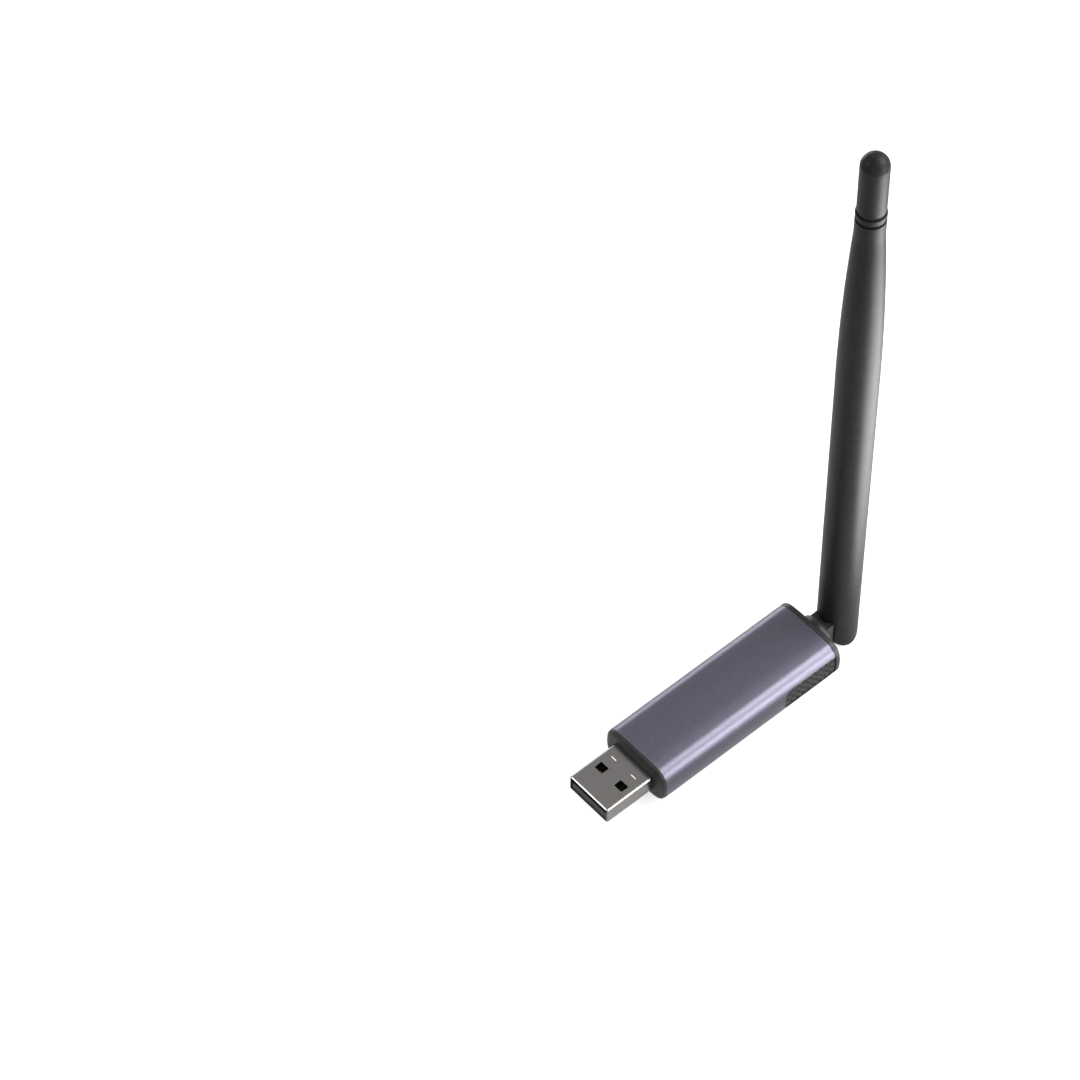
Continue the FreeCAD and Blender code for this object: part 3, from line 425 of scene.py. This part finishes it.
def pickEdges(piece, test):
    bpy.ops.mesh.select_mode(type="EDGE")
    work = bmesh.from_edit_mesh(piece.data)
    for edge in work.edges:
        edge.select_set(bool(test(edge)))
    bmesh.update_edit_mesh(piece.data)


def startPoint(name, place):
    pickNothing()
    bpy.ops.mesh.primitive_plane_add(size=1)
    piece = bpy.context.object
    piece.name = name
    bpy.ops.object.mode_set(mode="EDIT")
    bpy.ops.mesh.select_mode(type="VERT")
    bpy.ops.mesh.select_all(action="SELECT")
    bpy.ops.mesh.merge(type="COLLAPSE")
    bpy.ops.transform.translate(value=place)
    return piece


def drawBy(x, y, z):
    bpy.ops.mesh.extrude_region_move(TRANSFORM_OT_translate={"value": (x, y, z)})


def applyPlace(piece):
    pickOnly(piece)
    bpy.ops.object.transform_apply(location=True, rotation=True, scale=True)


def applyModifier(piece, kind, **settings):
    pickOnly(piece)
    modifier = piece.modifiers.new(kind.lower(), kind)
    for key, value in settings.items():
        setattr(modifier, key, value)
    bpy.ops.object.modifier_apply(modifier=modifier.name)


def cutWith(piece, cutter, way="DIFFERENCE"):
    applyModifier(piece, "BOOLEAN", object=cutter, operation=way, solver="EXACT")
    bpy.data.objects.remove(cutter)


def joinOnto(piece, other):
    count = len(piece.data.vertices)
    pickOnly(piece, other)
    bpy.ops.object.join()
    return range(count, len(piece.data.vertices))


def box(name, low, high):
    pickNothing()
    middle = [(a + b) / 2 for a, b in zip(low, high)]
    bpy.ops.mesh.primitive_cube_add(size=1, location=middle)
    piece = bpy.context.object
    piece.name = name
    piece.scale = [b - a for a, b in zip(low, high)]
    applyPlace(piece)
    return piece


def rod(name, start, end, radius, sides=96):
    pickNothing()
    start, end = Vector(start), Vector(end)
    along = end - start
    bpy.ops.mesh.primitive_cylinder_add(
        vertices=sides, radius=radius, depth=along.length, location=(start + end) / 2,
        rotation=along.to_track_quat("Z", "Y").to_euler()
    )
    piece = bpy.context.object
    piece.name = name
    applyPlace(piece)
    return piece


def roundEdges(piece, radius, segments, test):
    openPiece(piece)
    pickEdges(piece, test)
    bpy.ops.mesh.bevel(offset=radius, segments=segments, affect="EDGES")
    leaveEdit()


def softEdges(piece, width, segments=2, angle=40):
    applyModifier(
        piece, "BEVEL", width=width, segments=segments, limit_method="ANGLE", angle_limit=math.radians(angle),
        use_clamp_overlap=True
    )


def tidyFaces(piece):
    openPiece(piece)
    bpy.ops.mesh.select_all(action="SELECT")
    bpy.ops.mesh.remove_doubles(threshold=0.0005)
    bpy.ops.mesh.normals_make_consistent(inside=False)
    leaveEdit()


def finishPiece(piece, name, finish, body, replaced=(), smooth=35):
    piece.name = name
    piece.data.name = name
    piece.scale = (0.001, 0.001, 0.001)
    applyPlace(piece)
    bpy.ops.object.shade_smooth_by_angle(angle=math.radians(smooth))
    applyModifier(piece, "WEIGHTED_NORMAL", mode="FACE_AREA", weight=100, keep_sharp=True)
    piece.data.materials.clear()
    piece.data.materials.append(finishes[finish])
    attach(piece, body)
    if replaced:
        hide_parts(*replaced)
    print("piece", name, len(piece.data.polygons), "faces")
    return piece


# outlines: the body's section and the plug's section, drawn as arcs round their centres

bodyShape = {
    "halfWidth": 9.3, "halfHeight": 5.2, "topFlat": 2.5, "crownRadius": 28.0,
    "crownAngle": math.radians(7.6), "cornerAngle": math.radians(80.0),
    "steps": (4, 14, 4),
}


def bodyArcs(shape):
    a, b = shape["crownAngle"], shape["cornerAngle"]
    across = shape["halfWidth"] - shape["topFlat"] - shape["crownRadius"] * math.sin(a)
    down = shape["halfHeight"] - shape["crownRadius"] * (1 - math.cos(a))
    cornerAcross, sideAcross = math.sin(b) - math.sin(a), 1 - math.sin(b)
    cornerDown, sideDown = math.cos(a) - math.cos(b), math.cos(b)
    spread = cornerAcross * sideDown - sideAcross * cornerDown
    corner = (across * sideDown - sideAcross * down) / spread
    side = (cornerAcross * down - across * cornerDown) / spread
    return corner, side


def bodyOutline(x, inset):
    shape = bodyShape
    corner, side = bodyArcs(shape)
    a, b = shape["crownAngle"], shape["cornerAngle"]
    crownY, crownZ = shape["topFlat"], shape["halfHeight"] - shape["crownRadius"]
    reach = shape["crownRadius"] - corner
    crownSteps, cornerSteps, sideSteps = shape["steps"]
    outline = startPoint("outline", (x, 0, shape["halfHeight"] - inset))
    drawBy(0, shape["topFlat"], 0)
    bpy.ops.mesh.spin(steps=crownSteps, angle=a, center=(x, crownY, crownZ), axis=(1, 0, 0))
    cornerPlace = (x, crownY + reach * math.sin(a), crownZ + reach * math.cos(a))
    bpy.ops.mesh.spin(steps=cornerSteps, angle=b - a, center=cornerPlace, axis=(1, 0, 0))
    sidePlace = (x, shape["halfWidth"] - side, 0)
    bpy.ops.mesh.spin(steps=sideSteps, angle=math.pi / 2 - b, center=sidePlace, axis=(1, 0, 0))
    leaveEdit()
    applyModifier(outline, "MIRROR", use_axis=(False, True, True), merge_threshold=0.001)
    return outline


plugShape = {"halfWidth": 6.0, "halfHeight": 2.25, "corner": 0.55, "steps": 8}


def plugOutline(x, inset):
    shape = plugShape
    halfWidth = shape["halfWidth"] - inset
    halfHeight = shape["halfHeight"] - inset
    corner = shape["corner"] - inset
    outline = startPoint("outline", (x, 0, halfHeight))
    drawBy(0, halfWidth - corner, 0)
    place = (x, halfWidth - corner, halfHeight - corner)
    bpy.ops.mesh.spin(steps=shape["steps"], angle=math.pi / 2, center=place, axis=(1, 0, 0))
    drawBy(0, 0, corner - halfHeight)
    leaveEdit()
    applyModifier(outline, "MIRROR", use_axis=(False, True, True), merge_threshold=0.001)
    return outline


def circleOutline(x, radius, height, sides=72):
    pickNothing()
    bpy.ops.mesh.primitive_circle_add(
        vertices=sides, radius=radius, location=(x, 0, height), rotation=(0, math.pi / 2, 0)
    )
    outline = bpy.context.object
    applyPlace(outline)
    return outline


def bridgeRings(piece, ringA, ringB):
    openPiece(piece)
    both = set(ringA) | set(ringB)
    pickVerts(piece, lambda vert: vert.index in both)
    bpy.ops.mesh.bridge_edge_loops()
    leaveEdit()


def stackRings(name, outlines, closed=True):
    piece = outlines[0]
    spans = [range(len(piece.data.vertices))]
    for outline in outlines[1:]:
        spans.append(joinOnto(piece, outline))
    for ringA, ringB in zip(spans, spans[1:]):
        bridgeRings(piece, ringA, ringB)
    if closed:
        bridgeRings(piece, spans[-1], spans[0])
    else:
        for span in (spans[0], spans[-1]):
            openPiece(piece)
            pickVerts(piece, lambda vert: vert.index in set(span))
            bpy.ops.mesh.edge_face_add()
            leaveEdit()
    openPiece(piece)
    bpy.ops.mesh.select_all(action="SELECT")
    bpy.ops.mesh.normals_make_consistent(inside=False)
    leaveEdit()
    piece.name = name
    return piece


def sideSlot(name, x0, x1, y0, y1, halfHeight, corner):
    # a bar along Y with two round corners at its front
    bar = box(name, (x0, y0, -halfHeight), (x1, y1, halfHeight))

    def alongFront(edge):
        first, last = edge.verts
        return max(abs(first.co.x - x0), abs(last.co.x - x0)) < 1e-4 and abs(first.co.y - last.co.y) > 1

    roundEdges(bar, corner, 10, alongFront)
    return bar


# sleeve

sleeveSize = {
    "start": 13.9, "end": 63.1, "wall": 1.0, "edge": 0.1,
    "windowStart": 48.2, "windowHalfHeight": 2.75, "windowCorner": 1.7, "windowY": (5.6, 10.3),
    "ledgeY": (6.65, 8.75), "ledgeZ": (-2.19, -1.59), "softEdge": 0.07,
}


def makeSleeve(size):
    x0, x1, edge, wall = size["start"], size["end"], size["edge"], size["wall"]
    rings = [
        (x0 + edge, 0), (x1 - edge, 0), (x1, edge), (x1, wall), (x0, wall), (x0, edge),
    ]
    sleeve = stackRings("sleeve", [bodyOutline(x, inset) for x, inset in rings])
    for side in (1, -1):
        y0, y1 = sorted(side * y for y in size["ledgeY"])
        ledge = box("ledge", (x0, y0, size["ledgeZ"][0]), (x1, y1, size["ledgeZ"][1]))
        cutWith(sleeve, ledge, "UNION")
    for side in (1, -1):
        y0, y1 = sorted(side * y for y in size["windowY"])
        halfHeight, corner = size["windowHalfHeight"], size["windowCorner"]
        cutWith(sleeve, sideSlot("window", size["windowStart"], x1 + 1, y0, y1, halfHeight, corner))
    softEdges(sleeve, size["softEdge"], 2, 50)
    return finishPiece(sleeve, "sleeve", "anodisedSleeve", "housing", ["housing_sleeve"])


makeSleeve(sleeveSize)


# front bezel

bezelSize = {
    "rings": [
        (12.9, 1.6), (12.97, 1.15), (13.1, 0.6), (13.24, 0.32), (13.4, 0.17), (13.5, 0.12), (13.86, 0.12),
        (13.9, 0.16), (13.9, 1.08), (16.5, 1.08), (16.5, 2.18), (15.1, 2.18),
    ],
    "apertureFit": -0.05, "apertureX": (12.0, 17.0),
    "roomX": (13.95, 17.5), "roomY": (6.57, 9.3), "roomZ": (-2.27, -1.51),
}


def makeBezel(size):
    bezel = stackRings("frontBezel", [bodyOutline(x, inset) for x, inset in size["rings"]], False)
    aperture = [plugOutline(x, size["apertureFit"]) for x in size["apertureX"]]
    cutWith(bezel, stackRings("aperture", aperture, False))
    (x0, x1), (z0, z1) = size["roomX"], size["roomZ"]
    for side in (1, -1):
        # room for the sleeve's ledges
        y0, y1 = sorted(side * y for y in size["roomY"])
        cutWith(bezel, box("room", (x0, y0, z0), (x1, y1, z1)))
    return finishPiece(bezel, "frontBezel", "capPlastic", "housing", ["front_cap"], 28)


makeBezel(bezelSize)


# rear bezel and its side tongues

rearSize = {
    "rimStart": 63.1, "face": 64.5, "round": 0.5, "skirtStart": 56.1, "wallStart": 62.1,
    "skirtInset": (1.08, 2.18), "bore": 2.65, "track": (3.05, 3.75), "trackDepth": 0.8, "swivelHeight": -0.6,
    "rimEdge": 0.06, "skirtEdge": 0.1, "stopHalf": 0.62,
    "clipRoomX": (56.0, 62.1), "clipRoomHalf": 3.6, "clipRoomLow": -5.1,
    "seatX": (48.0, 57.2), "seatHalf": 6.66, "seatZ": (-3.31, -2.19),
}


def makeRearBezel(size):
    face, corner = size["face"], size["round"]
    outer, inner = size["skirtInset"]
    rings = []
    for step in range(7):
        turn = math.radians(15 * step)
        rings.append(bodyOutline(face - corner + corner * math.cos(turn), corner - corner * math.sin(turn)))
    rim, rimEdge = size["rimStart"], size["rimEdge"]
    skirt, skirtEdge = size["skirtStart"], size["skirtEdge"]
    inside = [
        (rim + rimEdge, 0), (rim, rimEdge), (rim, outer),
        (skirt + skirtEdge, outer), (skirt, outer + skirtEdge), (skirt, inner - skirtEdge),
        (skirt + skirtEdge, inner), (size["wallStart"], inner),
    ]
    rings += [bodyOutline(x, inset) for x, inset in inside]
    rear = stackRings("rearBezel", rings, False)
    height = size["swivelHeight"]
    cutWith(rear, rod("bore", (size["wallStart"] - 1, 0, height), (face + 1, 0, height), size["bore"]))
    # the swivel's round track, with a stop left standing at its top
    track = rod("track", (face - size["trackDepth"], 0, height), (face + 1, 0, height), size["track"][1])
    core = rod("core", (face - 2, 0, height), (face + 2, 0, height), size["track"][0])
    cutWith(track, core)
    half = size["stopHalf"]
    cutWith(track, box("block", (face - 2, -half, 0), (face + 2, half, 5)))
    cutWith(rear, track)
    (x0, x1), half = size["clipRoomX"], size["clipRoomHalf"]
    cutWith(rear, box("clipRoom", (x0, -half, size["clipRoomLow"]), (x1, half, height)))
    (x0, x1), half, (z0, z1) = size["seatX"], size["seatHalf"], size["seatZ"]
    cutWith(rear, box("seat", (x0, -half, z0), (x1, half, z1)))
    return finishPiece(rear, "rearBezel", "capPlastic", "housing", ["rear_cap"], 28)


makeRearBezel(rearSize)


tongueSize = {
    "start": 48.34, "end": 63.25, "halfHeight": 2.61, "corner": 1.56, "depthY": 7.4, "recess": 0.32,
    "outerY": 10.3, "softEdge": 0.05, "pitchX": 0.82, "pitchZ": 1.05,
    "studHalf": (0.66, 0.54), "studHeight": 0.29, "studTop": 0.28, "studEdge": 0.03, "studSink": 0.005,
    "firstStud": 0.95, "lastStud": 0.75, "cornerRoom": 0.45, "edgeRoom": 0.4,
}


def makeStud(size):
    # one low four-sided stud, drawn at the origin with its top towards +Z
    pickNothing()
    bpy.ops.mesh.primitive_cone_add(
        vertices=4, radius1=1.0, radius2=size["studTop"], depth=1.0, location=(0, 0, 0.5)
    )
    stud = bpy.context.object
    stud.name = "stud"
    applyPlace(stud)
    halfX, halfZ = size["studHalf"]
    stud.scale = (halfX, halfZ, size["studHeight"])
    applyPlace(stud)
    openPiece(stud)
    pickEdges(stud, lambda edge: max(v.co.z for v in edge.verts) > 0.05)
    bpy.ops.mesh.bevel(offset=size["studEdge"], segments=1, affect="EDGES")
    leaveEdit()
    return stud


def studPlaces(size):
    # rows along X, every second one shifted by half a pitch, kept clear of the edge and round corners
    start, end, halfHeight, corner = size["start"], size["end"], size["halfHeight"], size["corner"]
    rows = int(halfHeight / size["pitchZ"])
    for row in range(-rows, rows + 1):
        z = row * size["pitchZ"]
        x = start + size["firstStud"] + (row % 2) * size["pitchX"]
        while x < end - size["lastStud"]:
            reach = math.hypot(max(start + corner - x, 0), max(abs(z) - halfHeight + corner, 0))
            if reach < corner - size["cornerRoom"] and abs(z) < halfHeight - size["edgeRoom"]:
                yield x, z
            x += 2 * size["pitchX"]


def makeTongue(name, size, side):
    y0, y1 = sorted((side * size["depthY"], side * size["outerY"]))
    tongue = sideSlot(name, size["start"], size["end"], y0, y1, size["halfHeight"], size["corner"])
    ends = (size["start"] - 1, size["end"] + 1)
    cutWith(tongue, stackRings("bar", [bodyOutline(x, size["recess"]) for x in ends], False), "INTERSECT")
    softEdges(tongue, size["softEdge"], 2, 50)
    sideRadius = bodyArcs(bodyShape)[1]
    radius = sideRadius - size["recess"]
    centre = bodyShape["halfWidth"] - sideRadius
    stud = makeStud(size)
    copies = []
    for x, z in studPlaces(size):
        copy = stud.copy()
        copy.data = stud.data.copy()
        bpy.context.scene.collection.objects.link(copy)
        tilt = math.asin(z / radius)
        outward = Vector((0, side * math.cos(tilt), math.sin(tilt)))
        up = Vector((0, -side * math.sin(tilt), math.cos(tilt)))
        turn = Matrix((Vector((1, 0, 0)), up, outward)).transposed()
        if turn.determinant() < 0:
            turn = Matrix((Vector((-1, 0, 0)), up, outward)).transposed()
        place = Vector((x, side * centre, 0)) + outward * (radius - size["studSink"])
        copy.matrix_world = Matrix.Translation(place) @ turn.to_4x4()
        copies.append(copy)
    bpy.data.objects.remove(stud)
    for copy in copies:
        applyPlace(copy)
    pickOnly(tongue, *copies)
    bpy.ops.object.join()
    print("studs on", name, len(copies))
    return finishPiece(tongue, name, "knurledPlastic", "housing")


makeTongue("tongueLeft", tongueSize, 1)
makeTongue("tongueRight", tongueSize, -1)


# plug shell

plugSize = {
    "front": 0.27, "end": 20.5, "sheet": 0.3, "seamHalf": 0.035, "seamTop": -2.12, "softEdge": 0.03,
    "mouth": [(0.09, 0.3), (0.03, 0.285), (0.01, 0.245), (0.0, 0.195), (0.012, 0.168), (0.245, 0.01)],
    "holeX": (5.45, 7.45), "holeY": 3.1, "holeWidth": 2.4, "holeCorner": 0.18,
    "lanceX": (9.7, 10.05), "lanceWidth": 1.45, "lanceLow": 2.15, "lanceTop": 2.36, "lanceLean": 0.29,
    "legX": 19.2, "legWidth": 1.2, "legY": (5.98, 5.72), "legEnd": -3.75, "legTop": 0.4,
}


def makePlugShell(size):
    end, sheet = size["end"], size["sheet"]
    rings = [(size["front"], 0), (end, 0), (end + 0.01, sheet), *size["mouth"]]
    shell = stackRings("plugShell", [plugOutline(x, inset) for x, inset in rings])
    for side in (1, -1):
        x0, x1 = size["holeX"]
        y0 = side * size["holeY"] - size["holeWidth"] / 2
        hole = box("hole", (x0, y0, -4), (x1, y0 + size["holeWidth"], 4))
        roundEdges(
            hole, size["holeCorner"], 4, lambda edge: abs(edge.verts[0].co.z - edge.verts[1].co.z) > 1
        )
        cutWith(shell, hole)
    cutWith(shell, box("seam", (-1, -size["seamHalf"], -3), (end + 1, size["seamHalf"], size["seamTop"])))
    front, back = size["lanceX"]
    for side in (1, -1):
        y = side * size["holeY"]
        half = size["lanceWidth"] / 2
        lance = box("lance", (front, y - half, size["lanceLow"]), (back, y + half, size["lanceTop"]))
        openPiece(lance)
        pickVerts(lance, lambda vert: vert.co.z > 2.2 and vert.co.x < (front + back) / 2)
        bpy.ops.transform.translate(value=(size["lanceLean"], 0, 0))
        leaveEdit()
        cutWith(shell, lance, "UNION")
        y0, y1 = sorted(side * y for y in size["legY"])
        half = size["legWidth"] / 2
        leg = box("leg", (size["legX"] - half, y0, size["legEnd"]), (size["legX"] + half, y1, size["legTop"]))
        cutWith(shell, leg, "UNION")
    softEdges(shell, size["softEdge"], 2, 50)
    return finishPiece(shell, "plugShell", "plugSteel", "housing", ["usb_shell"], 30)


makePlugShell(plugSize)


# swivel knuckle

knuckleSize = {
    "start": 64.55, "collarEnd": 66.9, "collarRadius": 4.6, "collarRound": 1.0, "pin": (72.3, -0.6),
    "halfThickness": 2.6, "radius": 3.6, "grooveHalf": 1.1, "grooveStart": 67.6, "grooveFloor": -1.6,
    "spindle": 2.6, "spindleStart": 60.4, "clipGroove": (61.29, 61.98), "clipGrooveRadius": 2.15,
    "bore": 0.9, "trunnion": 1.3, "trunnionReach": 3.8, "collarHub": 1.5, "collarEdge": 0.08,
    "softEdge": 0.12, "stud": 0.29, "studStart": 63.76, "studDrop": 3.4,
}


def makeKnuckle(size):
    x0, x1, radius, corner = size["start"], size["collarEnd"], size["collarRadius"], size["collarRound"]
    hub, edge, grooveHalf = size["collarHub"], size["collarEdge"], size["grooveHalf"]
    pinX, pinZ = size["pin"]
    # the collar, round at its antenna end
    rings = [(x0, hub), (x0, radius - edge), (x0 + edge, radius)]
    for step in range(9):
        turn = math.radians(90 * step / 8)
        rings.append((x1 - corner + corner * math.sin(turn), radius - corner + corner * math.cos(turn)))
    rings.append((x1, hub))
    body = stackRings("knuckle", [circleOutline(x, reach, pinZ) for x, reach in rings], False)
    # the two prongs
    half, reach = size["halfThickness"], size["radius"]
    plate = box("plate", (x0 + 0.3, -half, pinZ - reach), (pinX, half, pinZ + reach))
    head = rod("head", (pinX, -half, pinZ), (pinX, half, pinZ), reach)
    cutWith(plate, head, "UNION")
    groove = box("groove", (size["grooveStart"], -grooveHalf, size["grooveFloor"]), (77.5, grooveHalf, 4.5))
    cutWith(plate, groove)
    tidyFaces(plate)
    softEdges(plate, size["softEdge"], 3, 45)
    cutWith(body, plate, "UNION")
    # the spindle, the trunnions and the clip's groove
    spindle = rod("spindle", (size["spindleStart"], 0, pinZ), (x0 + 0.5, 0, pinZ), size["spindle"])
    cutWith(body, spindle, "UNION")
    across = size["trunnionReach"]
    pin = rod("pin", (pinX, -across, pinZ), (pinX, across, pinZ), size["trunnion"], 48)
    cutWith(pin, box("gap", (65, -grooveHalf, -4), (77.5, grooveHalf, 4)))
    cutWith(body, pin, "UNION")
    g0, g1 = size["clipGroove"]
    ring = rod("ring", (g0, 0, pinZ), (g1, 0, pinZ), size["spindle"] + 1)
    cutWith(ring, rod("core", (g0 - 1, 0, pinZ), (g1 + 1, 0, pinZ), size["clipGrooveRadius"]))
    cutWith(body, ring)
    b0, b1 = size["spindleStart"] - 1, size["grooveStart"] + 0.2
    cutWith(body, rod("bore", (b0, 0, pinZ), (b1, 0, pinZ), size["bore"], 48))
    low = pinZ - size["studDrop"]
    cutWith(body, rod("stud", (size["studStart"], 0, low), (x0 + 0.3, 0, low), size["stud"], 24), "UNION")
    tidyFaces(body)
    replaced = ["swivel_knuckle"]
    return finishPiece(body, "knuckle", "hingePlastic", "swivel_base", replaced, 32)


makeKnuckle(knuckleSize)


# antenna: fork, tube and tip

antennaSize = {
    "axisX": 72.3, "pinZ": -0.6, "radius": 4.6, "forkTop": 15.0, "spigot": 3.45, "spigotTop": 21.0,
    "forkEdge": 0.16, "slotHalf": 2.85, "slotCeiling": 3.25, "socket": 1.35, "socketReach": 3.9,
    "bore": 0.9, "flare": 1.6,
    "seam": 0.1, "lip": 0.05, "taperStart": 84.0, "taperEnd": 127.5, "neck": 3.22, "tubeEnd": 133.7,
    "wall": 1.0, "grooveDepth": 0.35, "grooveWidth": 0.8, "grooveTop": 132.4, "edge": 0.07,
    "tip": 3.05, "tipStart": 134.5, "tipEnd": 149.6, "tipSpigot": 2.17, "tipSpigotStart": 128.7,
    "sides": 96,
}


def makeFork(size):
    x, pinZ, radius = size["axisX"], size["pinZ"], size["radius"]
    fork = rod("fork", (x, 0, pinZ - radius), (x, 0, size["forkTop"] + 1), radius, size["sides"])
    shape = rod("shape", (x, -6, pinZ), (x, 6, pinZ), radius, size["sides"])
    cutWith(shape, box("upper", (x - radius, -6, pinZ), (x + radius, 6, size["forkTop"] + 2)), "UNION")
    cutWith(fork, shape, "INTERSECT")
    half = size["slotHalf"]
    cutWith(fork, box("slot", (x - 6, -half, pinZ - 6), (x + 6, half, size["slotCeiling"])))
    softEdges(fork, size["forkEdge"], 3, 45)
    cutWith(fork, box("trim", (x - 6, -6, size["forkTop"] + 0.05), (x + 6, 6, size["forkTop"] + 3)))
    reach = size["socketReach"]
    for side in (1, -1):
        socket = rod("socket", (x, side * 2.0, pinZ), (x, side * reach, pinZ), size["socket"], 48)
        cutWith(fork, socket)
    low, high = size["forkTop"] - 0.5, size["spigotTop"]
    cutWith(fork, rod("spigot", (x, 0, low), (x, 0, high), size["spigot"], size["sides"]), "UNION")
    bore = rod("bore", (x, 0, size["slotCeiling"] - 0.5), (x, 0, size["spigotTop"] + 1), size["bore"], 48)
    cutWith(fork, bore)
    pickNothing()
    depth = size["flare"] - size["bore"] + 0.2
    bpy.ops.mesh.primitive_cone_add(
        vertices=48, radius1=size["flare"] + 0.1, radius2=size["bore"] - 0.1, depth=depth,
        location=(x, 0, size["slotCeiling"] - 0.1 + depth / 2)
    )
    flare = bpy.context.object
    applyPlace(flare)
    cutWith(fork, flare)
    tidyFaces(fork)
    return finishPiece(fork, "antennaFork", "blackPlastic", "antenna", ["antenna_fork"], 32)


def turnRound(piece, x, sides):
    openPiece(piece)
    bpy.ops.mesh.select_all(action="SELECT")
    bpy.ops.mesh.spin(steps=sides, angle=2 * math.pi, center=(x, 0, 0), axis=(0, 0, 1))
    leaveEdit()
    tidyFaces(piece)


def makeTube(size):
    x, radius, neck, wall = size["axisX"], size["radius"], size["neck"], size["wall"]
    low = size["forkTop"] + size["seam"]
    rise, drop = size["taperEnd"] - size["taperStart"], radius - neck
    curve = (rise ** 2 + drop ** 2) / (2 * drop)
    tube = startPoint("tube", (x + radius - wall, 0, low))
    lip = size["lip"]
    drawBy(wall - lip, 0, 0)
    bpy.ops.mesh.spin(steps=4, angle=math.pi / 2, center=(x + radius - lip, 0, low + lip), axis=(0, 1, 0))
    for step in range(4):
        drawBy(0, 0, (size["taperStart"] - low - lip) / 4)
    bend = (x + radius - curve, 0, size["taperStart"])
    bpy.ops.mesh.spin(steps=28, angle=math.asin(rise / curve), center=bend, axis=(0, 1, 0))
    grooveTop, grooveLow = size["grooveTop"], size["grooveTop"] - size["grooveWidth"]
    depth, edge = size["grooveDepth"], size["edge"]
    drawBy(0, 0, grooveLow - edge - size["taperEnd"])
    drawBy(-edge, 0, edge)
    drawBy(edge - depth, 0, 0)
    drawBy(0, 0, size["grooveWidth"])
    drawBy(depth - edge, 0, 0)
    drawBy(edge, 0, edge)
    drawBy(0, 0, size["tubeEnd"] - 2 * edge - grooveTop)
    drawBy(-edge, 0, edge)
    drawBy(edge - wall, 0, 0)
    drawBy(0, 0, size["taperEnd"] - size["tubeEnd"])
    drawBy(drop, 0, size["taperStart"] - size["taperEnd"])
    drawBy(0, 0, low - size["taperStart"])
    leaveEdit()
    turnRound(tube, x, size["sides"])
    return finishPiece(tube, "antennaTube", "blackPlastic", "antenna", ["antenna_tube"], 32)


def makeTip(size):
    x, radius, edge = size["axisX"], size["tip"], size["edge"]
    neck = size["neck"] - size["grooveDepth"]
    tip = startPoint("tip", (x, 0, size["tipSpigotStart"]))
    drawBy(size["tipSpigot"], 0, 0)
    drawBy(0, 0, size["tubeEnd"] - size["tipSpigotStart"])
    drawBy(neck - size["tipSpigot"], 0, 0)
    drawBy(0, 0, size["tipStart"] - size["tubeEnd"])
    drawBy(radius - edge - neck, 0, 0)
    drawBy(edge, 0, edge)
    for step in range(2):
        drawBy(0, 0, (size["tipEnd"] - radius - size["tipStart"] - edge) / 2)
    bpy.ops.mesh.spin(steps=20, angle=math.pi / 2, center=(x, 0, size["tipEnd"] - radius), axis=(0, 1, 0))
    leaveEdit()
    turnRound(tip, x, size["sides"])
    return finishPiece(tip, "antennaTip", "blackPlastic", "antenna", ["antenna_cap"], 32)


makeFork(antennaSize)
makeTube(antennaSize)
makeTip(antennaSize)


# lead through the hinge, drawn with a fixed bend that turns up into the antenna

leadSize = {
    "radius": 0.565, "joinX": 62.9, "height": -0.6, "pinX": 72.3, "bend": 4.0, "top": 8.6,
}


def makeHingeLead(size):
    pinX, z, bend = size["pinX"], size["height"], size["bend"]
    lead = rod("hingeLead", (size["joinX"], 0, z), (pinX - bend, 0, z), size["radius"], 32)
    openPiece(lead)
    bpy.ops.mesh.select_mode(type="FACE")
    work = bmesh.from_edit_mesh(lead.data)
    for face in work.faces:
        face.select_set(all(abs(v.co.x - pinX + bend) < 1e-4 for v in face.verts))
    bmesh.update_edit_mesh(lead.data)
    bpy.ops.mesh.spin(steps=24, angle=-math.pi / 2, center=(pinX - bend, 0, z + bend), axis=(0, -1, 0))
    for step in range(4):
        drawBy(0, 0, (size["top"] - z - bend) / 4)
    leaveEdit()
    tidyFaces(lead)
    finishPiece(lead, "hingeLead", "leadJacket", "swivel_base", ["hinge_coax"], 40)
    world = lead.matrix_world.copy()
    lead.parent = None
    lead.matrix_world = world
    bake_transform(lead)


makeHingeLead(leadSize)


# the nodes that stay as they are get their own finish

nodeFinishes = {
    "usb_insulator": "insulatorPlastic",
    "usb_contact_vbus": "contactGold",
    "usb_contact_data_minus": "contactGold",
    "usb_contact_data_plus": "contactGold",
    "usb_contact_ground": "contactGold",
    "circuit_board": "boardLaminate",
    "shield_can": "shieldTin",
    "radio_chip": "chipResin",
    "usb_bridge_chip": "chipResin",
    "voltage_regulator": "chipResin",
    "esd_array": "chipResin",
    "power_inductor": "chipResin",
    "radio_crystal": "crystalMetal",
    "capacitors": "capacitorCeramic",
    "resistors": "resistorFilm",
    "coax_receptacle": "connectorGold",
    "coax_plug": "connectorGold",
    "coax_lead": "leadJacket",
    "antenna_coax": "leadJacket",
    "retaining_clip": "clipSteel",
    "dipole_sleeve": "dipoleBrass",
    "radiator_rod": "radiatorCopper",
    "radiator_spacer": "spacerPlastic",
}
for node, finish in nodeFinishes.items():
    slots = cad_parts[node].data.materials
    slots.clear()
    slots.append(finishes[finish])
print("nodes given their finish:", len(nodeFinishes))

pickNothing()
